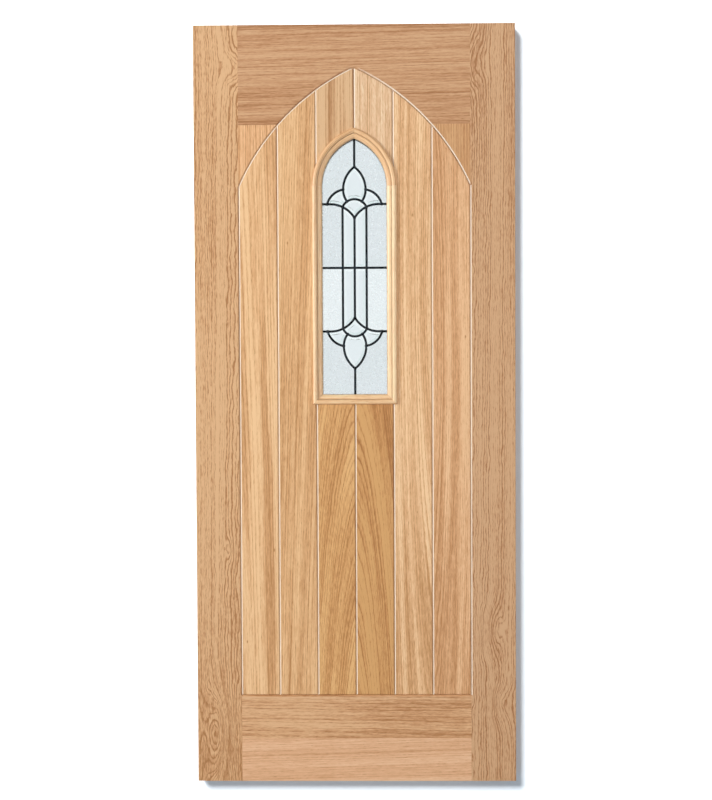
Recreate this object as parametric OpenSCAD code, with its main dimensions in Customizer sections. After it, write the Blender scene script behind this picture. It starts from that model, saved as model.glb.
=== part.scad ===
// Boarded oak door leaf with a pointed-arch panel and a leaded lancet light.
// Millimetres. X runs across the leaf, Y through its thickness (the front faces -Y)
// and Z up from the middle of the bottom edge.

/* [Leaf] */
// Overall width of the leaf
leaf_w = 838; // [800:1:900]
// Overall height of the leaf
leaf_h = 1981; // [1900:1:2100]
// Overall thickness of the leaf
leaf_t = 44; // [41:0.5:50]
// Chamfer that eases the long outer edges
arris = 1; // [0.5:0.1:3]

/* [Stiles and rails] */
// Width of each stile
stile_w = 117; // [100:1:130]
// Depth of the top rail
top_rail_h = 259; // [200:1:320]
// Depth of the bottom rail, two boards glued edge to edge
bottom_rail_h = 227; // [170:1:280]
// Diameter of the dowels between rails and stiles
dowel_d = 12; // [8:1:16]
// Length of each dowel
dowel_l = 80; // [50:1:120]

/* [Boards] */
// Thickness of each skin of boards
board_t = 12; // [11:0.5:14]
// Width of the chamfer on each side of a V joint
v_joint = 3.2; // [1.5:0.1:4]
// Length of the tongue between two boards
tongue_l = 6; // [4:0.5:7]
// Thickness of that tongue
tongue_t = 4; // [3:0.5:5]
// Depth of the frame's groove that holds the core
core_groove = 12; // [8:1:18]
// Width of the core's uprights beside the light
muntin_w = 40; // [25:1:60]

/* [Arch] */
// Radius of the panel's arch
arch_r = 610; // [520:1:800]
// Drop from the top of the leaf to the point of the arch
apex_drop = 110; // [90:1:150]
// Drop from the top of the leaf to the springing line of the arch and of the light
spring_drop = 418; // [390:1:450]
// Radius that softens the point of the arch
apex_round = 30; // [8:1:60]

/* [Light] */
// Radius of the lancet head at the sight line
lancet_r = 132; // [115:1:170]
// Height of the light's straight sides at the sight line
side_h = 544; // [480:1:640]
// Width of the bead around the light
bead_w = 26; // [24:0.5:32]
// Part of the bead's width that stands inside the aperture
bead_lap = 16.3; // [14.5:0.1:19]
// Diameter of the bead's outer half-round
bead_round = 13; // [10:0.5:16]
// Width of the quirk between the half-round and the ovolo
quirk_w = 1.2; // [0.8:0.1:2]
// Height of the bead's square nose at the glass
bead_nose = 3; // [1:0.5:5]
// Diameter of the panel pins in the beads
pin_d = 1.6; // [1.2:0.1:2]
// Length of the panel pins
pin_l = 25; // [20:1:30]

/* [Sealed unit] */
// Thickness of the sealed unit
unit_t = 24; // [20:0.5:28]
// Thickness of each outer pane
pane_t = 4; // [3:0.5:6]
// How far the unit reaches past the sight line
unit_cover = 13; // [11:0.5:14]
// Thickness of the glazing tape behind each bead
tape_t = 1; // [0.5:0.1:2]
// Width of the spacer bars
spacer_w = 6; // [4:0.5:7]
// Width of each setting block under the unit
block_w = 50; // [30:1:70]

/* [Leaded glass] */
// Width of the light that the pattern's widths are given for; they stretch with the light
pattern_w = 170; // [150:1:190]
// Face width of the cames
came_w = 6; // [4:0.5:8]
// Depth of the cames, front to back
came_t = 6.4; // [5:0.1:8]
// Thickness of the cames' flanges
came_flange = 1.1; // [0.8:0.1:1.5]
// Thickness of the cames' heart
came_heart = 1.2; // [0.8:0.1:2]
// Spread of the outer uprights, centre to centre
upright_spread = 63; // [50:1:76]
// Width of a teardrop
tear_w = 59.4; // [48:0.1:64]
// Height of a teardrop's tip past its cross came
tear_h = 97; // [85:1:110]
// Height of a teardrop's belly past its cross came
tear_belly = 38; // [30:1:46]
// Width of a teardrop where it stands on the shield
tear_foot = 39; // [30:1:46]
// Gap from the sight line's point to the upper teardrop's tip
tip_gap_head = 72; // [60:1:90]
// Gap from the sill's sight line to the lower teardrop's tip
tip_gap_sill = 68; // [56:1:90]
// Depth of the shield's point below its cross came
ogee_drop = 36; // [28:1:44]
// Height of the shield's round above its cross came
shield_rise = 13; // [8:1:18]
// Gap from the sight line to the foot of a fan
fan_margin = 13; // [9:1:20]
// Distance from a fan's foot to where its cross came starts to bend
fan_heel = 8; // [4:1:14]
// Radius of a fan's outer came
fan_r = 52; // [42:1:70]
// Width of the bevels on the clear pieces
bevel_w = 6; // [3:0.5:7]
// Rise of the bevels
bevel_rise = 1.4; // [0.5:0.1:2]

/* [Hidden] */

$fn = 96;
// Fit between pieces that are pushed together
gap = 0.3;
// Overshoot of a cut past the face it opens
over = 1;
// Number of boards across the panel
board_n = 6;
// Share of a dowel's bore left empty at its end
bore_spare = 0.5;
// Radial clearance of dowels and pins in their bores
bore_fit = 0.05;
// Narrowest tip left on a board that runs out against the light
feather = 8;
// Height of the ovolo's top edge above the leaf's face
ovolo_top = 1.5;
// Depth of the quirk's floor below the leaf's face
quirk_floor = 1;
// Lift of the half-round's centre above the leaf's face
round_lift = 0.5;
// Steps along each arc of a moulding or of a bevelled piece
arc_steps = 10;
// Flat land around a bevelled piece, past the came's flange
land = 0.5;
// Putty between a came's flange and the glass in it
putty = 0.1;
// Width of the sealant outside the spacer bars
sealant_w = 2;
// Gap between the border came and the edge of the panes
border_back = 1;
// Extra face width of the border came
border_extra = 1;
// Gap between the sight line and the glazing tape
tape_back = 2;
// Places of the pins along a straight side, as shares of its height
side_pin_shares = [0.15, 0.5, 0.85];
// Places of the pins round each half of the head, in degrees above the springing line
head_pin_angles = [35, 55];
// Dowels at each end of the top rail and of the bottom rail
top_dowels = 3;
bottom_dowels = 4;

// Leaf and panel
half_w = leaf_w / 2;
half_t = leaf_t / 2;
half_span = half_w - stile_w;
board_p = 2 * half_span / board_n;
core_t = leaf_t - 2 * board_t;
rail_z = leaf_h - top_rail_h;
spring_z = leaf_h - spring_drop;
apex_z = leaf_h - apex_drop;

// Centre of the arch's left flank, which lies right of the middle
arch_rise = apex_z - spring_z;
arch_chord = norm([half_span, arch_rise]);
arch_sag = sqrt(arch_r * arch_r - arch_chord * arch_chord / 4);
arch_cx = -half_span / 2 + arch_rise / arch_chord * arch_sag;
arch_cz = (spring_z + apex_z) / 2 - half_span / arch_chord * arch_sag;
// Centre of the round at the arch's point, and the direction from a flank's centre to it
round_z = arch_cz + sqrt(pow(arch_r - apex_round, 2) - arch_cx * arch_cx);
round_dir = [-arch_cx, round_z - arch_cz] / (arch_r - apex_round);

// Light: sight line, aperture and bead
sight_half = board_p - bead_lap;
lancet_cx = lancet_r - sight_half;
sill_z = spring_z - side_h;
sight_apex_z = spring_z + sqrt(lancet_r * lancet_r - lancet_cx * lancet_cx);
aperture = bead_lap + gap / 2;
aperture_sill_z = sill_z - aperture;
feather_z = spring_z + sqrt(pow(lancet_r + bead_lap, 2) - pow(lancet_cx + board_p - feather, 2));
bead_depth = (leaf_t - unit_t) / 2 - tape_t;
ovolo_w = bead_w - bead_round - quirk_w;
pin_u = ovolo_w + quirk_w / 2;
muntin_x = board_p + gap / 2 + muntin_w;
bay_half = board_p;

// Sealed unit and leaded panel
spacer_t = (unit_t - 2 * pane_t - came_t) / 2;
spacer_out = unit_cover - sealant_w;
border_out = unit_cover - border_back;
border_w = came_w + border_extra;
glass_t = came_t - 2 * came_flange - 2 * putty;
glass_gap = came_heart / 2 + gap;
glass_out = border_out - came_heart - gap;
// Rings of a bevelled piece inside its cames' centre lines: edge, foot and top of the bevel
bevel_insets = [glass_gap, came_w / 2 + land, came_w / 2 + land + bevel_w];

// Leaded pattern, with heights measured from each cross came
head_cross_z = sight_apex_z - tip_gap_head - tear_h;
sill_cross_z = sill_z + tip_gap_sill + tear_h;
middle_z = (head_cross_z + sill_cross_z) / 2;
pattern_fit = 2 * sight_half / pattern_w;
upright_x = pattern_fit * upright_spread / 2;
fan_foot = sight_half - pattern_fit * fan_margin;
ogee_x = fan_foot - pattern_fit * fan_heel;
ogee_r = (ogee_x * ogee_x + ogee_drop * ogee_drop) / (2 * ogee_drop);
// Height of the cross came's curve at a distance from the middle
function ogee_y(x) = sqrt(ogee_r * ogee_r - pow(ogee_x - x, 2)) - ogee_r;
shield_sag = shield_rise - ogee_y(upright_x);
shield_r = (upright_x * upright_x + shield_sag * shield_sag) / (2 * shield_sag);
shield_cy = shield_rise - shield_r;
tear_half = pattern_fit * tear_w / 2;
tear_foot_x = pattern_fit * tear_foot / 2;
tear_foot_y = shield_cy + sqrt(shield_r * shield_r - tear_foot_x * tear_foot_x);
tear_rise = tear_h - tear_belly;
tear_top_r = (tear_half * tear_half + tear_rise * tear_rise) / (2 * tear_half);
tear_in = tear_half - tear_foot_x;
tear_low = tear_belly - tear_foot_y;
tear_low_r = (tear_in * tear_in + tear_low * tear_low) / (2 * tear_in);
// Centre of the right fan's outer came, through its foot and the teardrop's belly
fan_chord = [tear_half - fan_foot, tear_belly];
fan_len = norm(fan_chord);
fan_arc_r = pattern_fit * fan_r;
fan_sag = sqrt(fan_arc_r * fan_arc_r - fan_len * fan_len / 4);
fan_c = [fan_foot, 0] + fan_chord / 2 + [-fan_chord.y, fan_chord.x] / fan_len * fan_sag;

// Oak as each piece shows it
stile_oak = "#c69a6b";
rail_oak = "#d0a074";
board_oak = "#d6aa77";
bead_oak = "#e3bb85";
core_grey = "#d8d4c8";
glass_blue = "#dfe8ec";
came_black = "#2b3236";
steel_grey = "#9aa0a4";

// An XZ outline as a slab from y0 to y0 + t
module slab(y0, t) {
    translate([0, y0 + t, 0]) rotate([90, 0, 0]) linear_extrude(t) children();
}

// The same piece on the back of the leaf
module back() {
    mirror([0, 1, 0]) children();
}

// Outline of the panel, grown outwards
module panel_outline(grow) {
    difference() {
        translate([-half_span - grow, bottom_rail_h - grow])
            square([2 * (half_span + grow), apex_z + 2 * grow + over - bottom_rail_h]);
        for (side = [-1, 1]) difference() {
            translate([-half_w, arch_cz]) square([leaf_w, leaf_h - arch_cz]);
            translate([side * arch_cx, arch_cz]) circle(r = arch_r + grow);
        }
    }
}

// Groove in stiles, rails and spandrels that holds the core's edge
module core_pocket() {
    slab(-core_t / 2, core_t) panel_outline(core_groove);
}

// Section of a disc's rim with V-joint chamfers: flare 1 opens at the faces, -1 closes there
function rim(r, flare) = [
    [0, -half_t - over],
    [r + flare * (v_joint + over), -half_t - over],
    [r, -half_t + v_joint],
    [r, half_t - v_joint],
    [r + flare * (v_joint + over), half_t + over],
    [0, half_t + over]
];

// Disc across the leaf, centred at [x, z]
module rim_disc(centre, r, flare) {
    translate([centre.x, 0, centre.y]) rotate([90, 0, 0]) rotate_extrude($fn = 180)
        polygon(rim(r, flare));
}

// Space inside the arch with its softened point, grown by a fit
module arch_body(grow, flare) {
    difference() {
        intersection_for (side = [-1, 1])
            rim_disc([side * arch_cx, arch_cz], arch_r + grow, flare);
        slab(-leaf_t, 2 * leaf_t) polygon([
            [0, round_z],
            [0, round_z] + arch_r * round_dir,
            [0, round_z] + arch_r * [-round_dir.x, round_dir.y]
        ]);
    }
    rim_disc([0, round_z], apex_round + grow, flare);
}

// Everything above the springing that lies outside one flank of the arch
module outside_flank(side) {
    difference() {
        translate([-half_w, -leaf_t, arch_cz]) cube([leaf_w, 2 * leaf_t, leaf_h]);
        rim_disc([-side * arch_cx, arch_cz], arch_r - gap, -1);
    }
}

module outside_point() {
    difference() {
        translate([-half_w, -leaf_t, arch_cz]) cube([leaf_w, 2 * leaf_t, leaf_h]);
        arch_body(-gap, -1);
    }
}

// Outline of the light, grown outwards from the sight line
module lancet(grow) {
    translate([-sight_half - grow, sill_z - grow])
        square([2 * (sight_half + grow), side_h + grow]);
    intersection() {
        translate([-half_w, spring_z]) square([leaf_w, leaf_h - spring_z]);
        translate([lancet_cx, spring_z]) circle(r = lancet_r + grow);
        translate([-lancet_cx, spring_z]) circle(r = lancet_r + grow);
    }
}

module lancet_ring(outer, inner) {
    difference() {
        lancet(outer);
        lancet(inner);
    }
}

// Stiles, rails and spandrels

// Heights of the dowels, spread evenly over each rail
dowel_heights = concat(
    [for (k = [0:top_dowels - 1]) rail_z + top_rail_h * (k + 0.5) / top_dowels],
    [for (k = [0:bottom_dowels - 1]) bottom_rail_h * (k + 0.5) / bottom_dowels]
);

// Dowels at one end of the rails, or their bores
module dowel_row(side, d, l) {
    for (z = dowel_heights)
        translate([side * half_span - l / 2, 0, z]) rotate([0, 90, 0]) cylinder(d = d, h = l);
}

module dowel_bores(side) {
    dowel_row(side, dowel_d + 2 * bore_fit, dowel_l + 2 * bore_spare);
}

module frame_dowels() {
    color("burlywood") for (side = [-1, 1]) dowel_row(side, dowel_d, dowel_l);
}

module left_stile() {
    color(stile_oak) difference() {
        linear_extrude(leaf_h) polygon([
            [-half_w, -half_t + arris],
            [-half_w + arris, -half_t],
            [-half_span, -half_t],
            [-half_span, half_t],
            [-half_w + arris, half_t],
            [-half_w, half_t - arris]
        ]);
        for (face = [-1, 1]) translate([0, 0, bottom_rail_h])
            linear_extrude(spring_z - bottom_rail_h) polygon([
                [-half_span - v_joint - over, face * (half_t + over)],
                [-half_span + over, face * (half_t + over)],
                [-half_span + over, face * (half_t - v_joint - over)]
            ]);
        core_pocket();
        dowel_bores(-1);
    }
}

module right_stile() {
    mirror([1, 0, 0]) left_stile();
}

module top_rail() {
    color(rail_oak) difference() {
        translate([-half_span, -half_t, rail_z]) cube([2 * half_span, leaf_t, top_rail_h]);
        arch_body(0, 1);
        core_pocket();
        for (side = [-1, 1]) dowel_bores(side);
    }
}

// Chamfer along X on the edge at height z: way 1 opens upwards, -1 downwards
module cross_chamfer(z, way) {
    for (face = [-1, 1]) translate([-half_span - over, 0, 0]) rotate([90, 0, 90])
        linear_extrude(2 * (half_span + over)) polygon([
            [face * half_t, z - way * v_joint],
            [face * (half_t + over), z - way * v_joint],
            [face * (half_t + over), z + way * over],
            [face * (half_t - v_joint), z + way * over],
            [face * (half_t - v_joint), z]
        ]);
}

module bottom_rail_upper() {
    color(rail_oak) difference() {
        translate([-half_span, -half_t, bottom_rail_h / 2])
            cube([2 * half_span, leaf_t, bottom_rail_h / 2]);
        cross_chamfer(bottom_rail_h, 1);
        core_pocket();
        for (side = [-1, 1]) dowel_bores(side);
    }
}

module bottom_rail_lower() {
    color(rail_oak) difference() {
        translate([-half_span, -half_t, 0]) cube([2 * half_span, leaf_t, bottom_rail_h / 2]);
        for (side = [-1, 1]) dowel_bores(side);
    }
}

module left_spandrel() {
    reach = half_span + arch_cx - sqrt(arch_r * arch_r - pow(rail_z - arch_cz, 2));
    color(board_oak) difference() {
        translate([-half_span, -half_t, spring_z])
            cube([reach + v_joint + over, leaf_t, rail_z - spring_z]);
        rim_disc([arch_cx, arch_cz], arch_r, 1);
        core_pocket();
    }
}

module right_spandrel() {
    mirror([1, 0, 0]) left_spandrel();
}

// Boards

// Section of a front board between x0 and x1, with a groove on its left and a tongue on its right
function board_section(x0, x1, groove, tongue) =
    let (
        face = -half_t,
        rear = -half_t + board_t,
        mid = -half_t + board_t / 2,
        slot = tongue_t / 2 + gap / 2,
        slot_x = x0 + tongue_l + gap
    ) concat(
        [[x0, face + v_joint], [x0 + v_joint, face], [x1 - v_joint, face], [x1, face + v_joint]],
        tongue ? [
            [x1, mid - tongue_t / 2], [x1 + tongue_l, mid - tongue_t / 2],
            [x1 + tongue_l, mid + tongue_t / 2], [x1, mid + tongue_t / 2]
        ] : [],
        [[x1, rear], [x0, rear]],
        groove ? [[x0, mid + slot], [slot_x, mid + slot], [slot_x, mid - slot], [x0, mid - slot]] : []
    );

// Board k of the front skin, from 0 at the left, between two heights
module board_blank(k, z0, z1) {
    x0 = -half_span + k * board_p + gap / 2;
    x1 = x0 + board_p - gap;
    translate([0, 0, z0]) linear_extrude(z1 - z0)
        polygon(board_section(x0, x1, k > 0, k < board_n - 1));
}

// A board that runs from the bottom rail to the arch
module long_board(k) {
    side = k < board_n / 2 ? -1 : 1;
    color(board_oak) difference() {
        board_blank(k, bottom_rail_h + gap, apex_z);
        cross_chamfer(bottom_rail_h + gap, -1);
        outside_flank(side);
        slab(-leaf_t, 2 * leaf_t) lancet(aperture);
        side_pins(side, bore_fit);
    }
}

// The length of a middle board below the light
module short_board(k) {
    color(board_oak) difference() {
        board_blank(k, bottom_rail_h + gap, aperture_sill_z);
        cross_chamfer(bottom_rail_h + gap, -1);
        sill_pins(bore_fit);
    }
}

// The length of a middle board above the light
module head_board(k) {
    color(board_oak) difference() {
        board_blank(k, feather_z, apex_z);
        outside_point();
        slab(-leaf_t, 2 * leaf_t) lancet(aperture);
        head_pins(k < board_n / 2 ? -1 : 1, bore_fit);
    }
}

// Core between the two skins of boards

module core_outline(x0, x1, z0, z1) {
    intersection() {
        panel_outline(core_groove - gap);
        translate([x0, z0]) square([x1 - x0, z1 - z0]);
    }
}

module left_core() {
    color(core_grey) slab(-core_t / 2, core_t) core_outline(-half_w, -muntin_x, 0, leaf_h);
}

module right_core() {
    mirror([1, 0, 0]) left_core();
}

module lower_core() {
    color(core_grey) slab(-core_t / 2, core_t)
        core_outline(-bay_half, bay_half, 0, aperture_sill_z - muntin_w);
}

module left_muntin() {
    color(rail_oak) difference() {
        slab(-core_t / 2, core_t) core_outline(-muntin_x, -muntin_x + muntin_w, 0, leaf_h);
        all_pins(bore_fit);
    }
}

module right_muntin() {
    mirror([1, 0, 0]) left_muntin();
}

module light_sill_block() {
    color(rail_oak) difference() {
        slab(-core_t / 2, core_t)
            core_outline(-bay_half, bay_half, aperture_sill_z - muntin_w, aperture_sill_z);
        all_pins(bore_fit);
    }
}

module light_head_block() {
    color(rail_oak) difference() {
        slab(-core_t / 2, core_t) difference() {
            core_outline(-bay_half, bay_half, feather_z, leaf_h);
            lancet(aperture);
        }
        all_pins(bore_fit);
    }
}

// Beads around the light

// Section of the bead: u outwards from the sight line, v proud of the leaf's face
bead_section = concat(
    [[0, -bead_depth]],
    [for (k = [0:arc_steps]) let (a = 90 * k / arc_steps, base = bead_nose - bead_depth)
        [ovolo_w * (1 - cos(a)), base + (ovolo_top - base) * sin(a)]],
    [[ovolo_w, -quirk_floor], [ovolo_w + quirk_w, -quirk_floor]],
    [for (k = [0:2 * arc_steps]) let (a = 180 - 90 * k / arc_steps, r = bead_round / 2)
        [bead_w - r + r * cos(a), round_lift + r * sin(a)]],
    [[bead_w, 0], [bead_lap - gap, 0], [bead_lap - gap, -bead_depth]]
);

// One bead pin, or its bore, at 45 degrees into the leaf and away from the light
module pin(centre, reach, angle, fit) {
    d = pin_d + 2 * fit;
    l = pin_l + 2 * fit;
    head_sink = pin_d - fit;
    translate([centre.x, -half_t + quirk_floor, centre.y]) rotate([0, -angle, 0])
        translate([reach + pin_u, 0, 0]) rotate([0, 0, 45]) rotate([0, 90, 0])
            translate([0, 0, head_sink]) cylinder(d = d, h = l, $fn = 24);
}

module side_pins(side, fit) {
    for (share = side_pin_shares)
        pin([0, sill_z + share * side_h], sight_half, side > 0 ? 0 : 180, fit);
}

module sill_pins(fit) {
    for (side = [-1, 1]) pin([side * board_p / 2, sill_z], 0, -90, fit);
}

module head_pins(side, fit) {
    for (angle = head_pin_angles)
        pin([-side * lancet_cx, spring_z], lancet_r, side > 0 ? angle : 180 - angle, fit);
}

// Every pin of the front beads and of the back beads
module all_pins(fit) {
    for (turn = [0, 1]) mirror([0, turn, 0]) {
        for (side = [-1, 1]) {
            side_pins(side, fit);
            head_pins(side, fit);
        }
        sill_pins(fit);
    }
}

module bead_pins() {
    color(steel_grey) all_pins(0);
}

module bead_left_arch() {
    color(bead_oak) difference() {
        intersection() {
            translate([lancet_cx, -half_t, spring_z]) rotate([90, 0, 0]) rotate([0, 0, 90])
                rotate_extrude(angle = 90, $fn = 180)
                    polygon([for (p = bead_section) [lancet_r + p.x, p.y]]);
            translate([-half_w, -leaf_t, spring_z + gap / 2])
                cube([half_w - gap / 2, 2 * leaf_t, leaf_h]);
        }
        head_pins(-1, bore_fit);
    }
}

module bead_right_arch() {
    mirror([1, 0, 0]) bead_left_arch();
}

// Space on one side of the mitre at the sill's left corner
module sill_mitre(shift) {
    slab(-leaf_t, 2 * leaf_t) polygon([
        [-sight_half + shift + leaf_h, sill_z + leaf_h],
        [-sight_half + shift - leaf_h, sill_z - leaf_h],
        [-sight_half + shift - leaf_h, sill_z + leaf_h]
    ]);
}

module bead_left_side() {
    color(bead_oak) difference() {
        intersection() {
            translate([0, 0, sill_z - bead_w]) linear_extrude(side_h + bead_w - gap / 2)
                polygon([for (p = bead_section) [-sight_half - p.x, -half_t - p.y]]);
            sill_mitre(-gap / 2);
        }
        side_pins(-1, bore_fit);
    }
}

module bead_right_side() {
    mirror([1, 0, 0]) bead_left_side();
}

module bead_sill() {
    color(bead_oak) difference() {
        translate([-sight_half - bead_w, 0, 0]) rotate([90, 0, 90])
            linear_extrude(2 * (sight_half + bead_w))
                polygon([for (p = bead_section) [-half_t - p.y, sill_z - p.x]]);
        sill_mitre(gap / 2);
        mirror([1, 0, 0]) sill_mitre(gap / 2);
        sill_pins(bore_fit);
    }
}

// Sealed unit

module front_pane() {
    color(glass_blue, 0.4) slab(-unit_t / 2, pane_t) lancet(unit_cover);
}

module front_spacer() {
    color("silver") slab(-unit_t / 2 + pane_t, spacer_t) lancet_ring(spacer_out, spacer_out - spacer_w);
}

module front_glazing_tape() {
    color("dimgray") slab(-unit_t / 2 - tape_t, tape_t) lancet_ring(border_out, tape_back);
}

module setting_blocks() {
    block_h = aperture - unit_cover;
    color("dimgray") for (side = [-1, 1])
        translate([side * sight_half / 2 - block_w / 2, -unit_t / 2, aperture_sill_z])
            cube([block_w, unit_t, block_h]);
}

// Leaded panel

module stroke_line(from, to, w) {
    run = to - from;
    translate(from) rotate(atan2(run.y, run.x)) translate([0, -w / 2]) square([norm(run), w]);
}

// Band of width w along an arc of less than half a turn
module stroke_arc(centre, r, a0, a1, w) {
    far = 2 * (r + w);
    translate(centre) intersection() {
        difference() {
            circle(r = r + w / 2);
            circle(r = r - w / 2);
        }
        polygon([
            [0, 0],
            far * [cos(a0), sin(a0)],
            far * [cos((a0 + a1) / 2), sin((a0 + a1) / 2)],
            far * [cos(a1), sin(a1)]
        ]);
    }
}

function angle_to(centre, p) = atan2(p.y - centre.y, p.x - centre.x);

// Ends of the pattern's arcs, measured from the cross came on the right half
shield_end = [upright_x, ogee_y(upright_x)];
tear_end = [tear_foot_x, tear_foot_y];
tear_side = [tear_half, tear_belly];
tear_tip = [0, tear_h];
tear_top_c = [tear_half - tear_top_r, tear_belly];
tear_low_c = [tear_half - tear_low_r, tear_belly];
shield_c = [0, shield_cy];
ogee_c = [ogee_x, -ogee_r];

// The cames of one end of the pattern, right half, as bands of width w
module cluster_strokes(w) {
    stroke_arc(tear_top_c, tear_top_r, 0, angle_to(tear_top_c, tear_tip), w);
    stroke_arc(tear_low_c, tear_low_r, angle_to(tear_low_c, tear_end), 0, w);
    stroke_arc(fan_c, fan_arc_r, angle_to(fan_c, [fan_foot, 0]), angle_to(fan_c, tear_side), w);
    stroke_arc(shield_c, shield_r, angle_to(shield_c, shield_end), 90, w);
    stroke_arc(ogee_c, ogee_r, 90, angle_to(ogee_c, [0, -ogee_drop]), w);
    stroke_line([ogee_x, 0], [half_w, 0], w);
}

// Places one end of the pattern at its cross came: end 1 at the head, -1 at the sill
module at_end(end) {
    translate([0, end > 0 ? head_cross_z : sill_cross_z]) mirror([0, end > 0 ? 0 : 1]) children();
}

// Every came of the pattern as a band of width w
module pattern_strokes(w) {
    for (end = [-1, 1], side = [0, 1]) at_end(end) mirror([side, 0]) cluster_strokes(w);
    for (x = [-upright_x, upright_x])
        stroke_line([x, sill_cross_z - shield_end.y], [x, head_cross_z + shield_end.y], w);
    stroke_line(
        [0, sill_cross_z + ogee_drop - came_heart / 2],
        [0, head_cross_z - ogee_drop + came_heart / 2],
        w
    );
    stroke_line([-half_w, middle_z], [half_w, middle_z], w);
    stroke_line([0, head_cross_z + tear_h - came_heart / 2], [0, apex_z], w);
    stroke_line([0, sill_cross_z - tear_h + came_heart / 2], [0, 0], w);
}

module came_layer(face_w, border) {
    lancet_ring(border_out, border_out - border);
    intersection() {
        lancet(border_out - border / 2);
        pattern_strokes(face_w);
    }
}

module came_lattice() {
    color(came_black) {
        slab(-came_t / 2, came_flange) came_layer(came_w, border_w);
        slab(-came_t / 2 + came_flange, came_t - 2 * came_flange) came_layer(came_heart, came_heart);
        slab(came_t / 2 - came_flange, came_flange) came_layer(came_w, border_w);
    }
}

// Bevelled pieces, as rings of points that lie d inside the cames' centre lines

// Where two circles meet, on the left (1) or right (-1) of the line between their centres
function meet(c0, r0, c1, r1, hand) =
    let (
        run = c1 - c0,
        len = norm(run),
        along = (r0 * r0 - r1 * r1 + len * len) / (2 * len),
        off = sqrt(r0 * r0 - along * along)
    ) c0 + (along * run + hand * off * [-run.y, run.x]) / len;

// Steps along an arc, without its last point
function arc_points(centre, from, to) =
    let (r = norm(from - centre), a0 = angle_to(centre, from), a1 = angle_to(centre, to))
    [for (k = [0:arc_steps - 1]) let (a = a0 + (a1 - a0) * k / arc_steps) centre + r * [cos(a), sin(a)]];

// A whole outline from its right half, which starts on the middle line, and its top point
function both_sides(right, top) =
    concat(right, [top], [for (k = [len(right) - 1:-1:1]) [-right[k].x, right[k].y]]);

function tear_ring(d) =
    let (
        base = [0, shield_rise + d],
        foot = meet(shield_c, shield_r + d, tear_low_c, tear_low_r - d, -1),
        side = [tear_half - d, tear_belly],
        tip = [0, tear_belly + sqrt(pow(tear_top_r - d, 2) - pow(tear_top_c.x, 2))]
    ) both_sides(concat(
        arc_points(shield_c, base, foot),
        arc_points(tear_low_c, foot, side),
        arc_points(tear_top_c, side, tip)
    ), tip);

function shield_ring(d) =
    let (
        point = [0, sqrt(pow(ogee_r + d, 2) - ogee_x * ogee_x) - ogee_r],
        corner = meet(shield_c, shield_r - d, ogee_c, ogee_r + d, 1),
        top = [0, shield_rise - d]
    ) both_sides(concat(
        arc_points(ogee_c, point, corner),
        arc_points(shield_c, corner, top)
    ), top);

function fan_ring(d) =
    let (
        inner = meet(shield_c, shield_r + d, ogee_c, ogee_r + d, 1),
        bend = [ogee_x, d],
        foot = [fan_c.x + sqrt(pow(fan_arc_r - d, 2) - pow(d - fan_c.y, 2)), d],
        top = meet(fan_c, fan_arc_r - d, tear_low_c, tear_low_r + d, -1),
        waist = meet(shield_c, shield_r + d, tear_low_c, tear_low_r + d, -1)
    ) concat(
        arc_points(ogee_c, inner, bend),
        [bend],
        arc_points(fan_c, foot, top),
        arc_points(tear_low_c, top, waist),
        arc_points(shield_c, waist, inner)
    );

// Right strip of the head's end, down to the middle came
function strip_ring(d) =
    let (
        base = middle_z - head_cross_z + d,
        outer = upright_x - d,
        corner = [outer, sqrt(pow(ogee_r - d, 2) - pow(ogee_x - outer, 2)) - ogee_r],
        peak = [d, sqrt(pow(ogee_r - d, 2) - pow(ogee_x - d, 2)) - ogee_r]
    ) concat([[d, base], [outer, base]], arc_points(ogee_c, corner, peak), [peak]);

function lifted(points, z) = [for (p = points) [p.x, p.y, z]];

// A piece of glass with a bevelled front, from rings at its edge, its land and its flat
module bevelled(outlines) {
    n = len(outlines[0]);
    rings = [
        lifted(outlines[0], -glass_t / 2),
        lifted(outlines[0], glass_t / 2),
        lifted(outlines[1], glass_t / 2),
        lifted(outlines[2], glass_t / 2 + bevel_rise)
    ];
    last = len(rings) - 1;
    polyhedron(
        points = [for (ring = rings) each ring],
        faces = concat(
            [[for (k = [0:n - 1]) k]],
            [for (j = [0:last - 1], k = [0:n - 1])
                [j * n + k, (j + 1) * n + k, (j + 1) * n + (k + 1) % n, j * n + (k + 1) % n]],
            [[for (k = [n - 1:-1:0]) last * n + k]]
        )
    );
}

// Stands XY pieces up in the leaf's middle plane, with their tops to the front
module upright() {
    rotate([90, 0, 0]) children();
}

module teardrop_bevels() {
    color(glass_blue, 0.5) upright() for (end = [-1, 1])
        at_end(end) bevelled([for (d = bevel_insets) tear_ring(d)]);
}

module fan_bevels() {
    color(glass_blue, 0.5) upright() for (end = [-1, 1], side = [0, 1])
        at_end(end) mirror([side, 0]) bevelled([for (d = bevel_insets) fan_ring(d)]);
}

module shield_bevels() {
    color(glass_blue, 0.5) upright() for (end = [-1, 1])
        at_end(end) bevelled([for (d = bevel_insets) shield_ring(d)]);
}

module strip_bevels() {
    color(glass_blue, 0.5) upright() for (end = [-1, 1], side = [0, 1])
        at_end(end) mirror([side, 0]) bevelled([for (d = bevel_insets) strip_ring(d)]);
}

// Textured glass between two heights, around the bevelled pieces
module field_glass(z0, z1, x_free) {
    color(glass_blue, 0.5) slab(-glass_t / 2, glass_t) difference() {
        intersection() {
            lancet(glass_out);
            translate([-half_w, z0]) square([leaf_w, z1 - z0]);
        }
        for (end = [-1, 1]) at_end(end) {
            polygon(tear_ring(0));
            polygon(shield_ring(0));
            for (side = [0, 1]) mirror([side, 0]) polygon(fan_ring(0));
        }
        if (x_free > 0) translate([-x_free, z0]) square([2 * x_free, z1 - z0]);
        pattern_strokes(2 * glass_gap);
    }
}

module head_field_glass() {
    field_glass(head_cross_z, leaf_h, 0);
}

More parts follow.
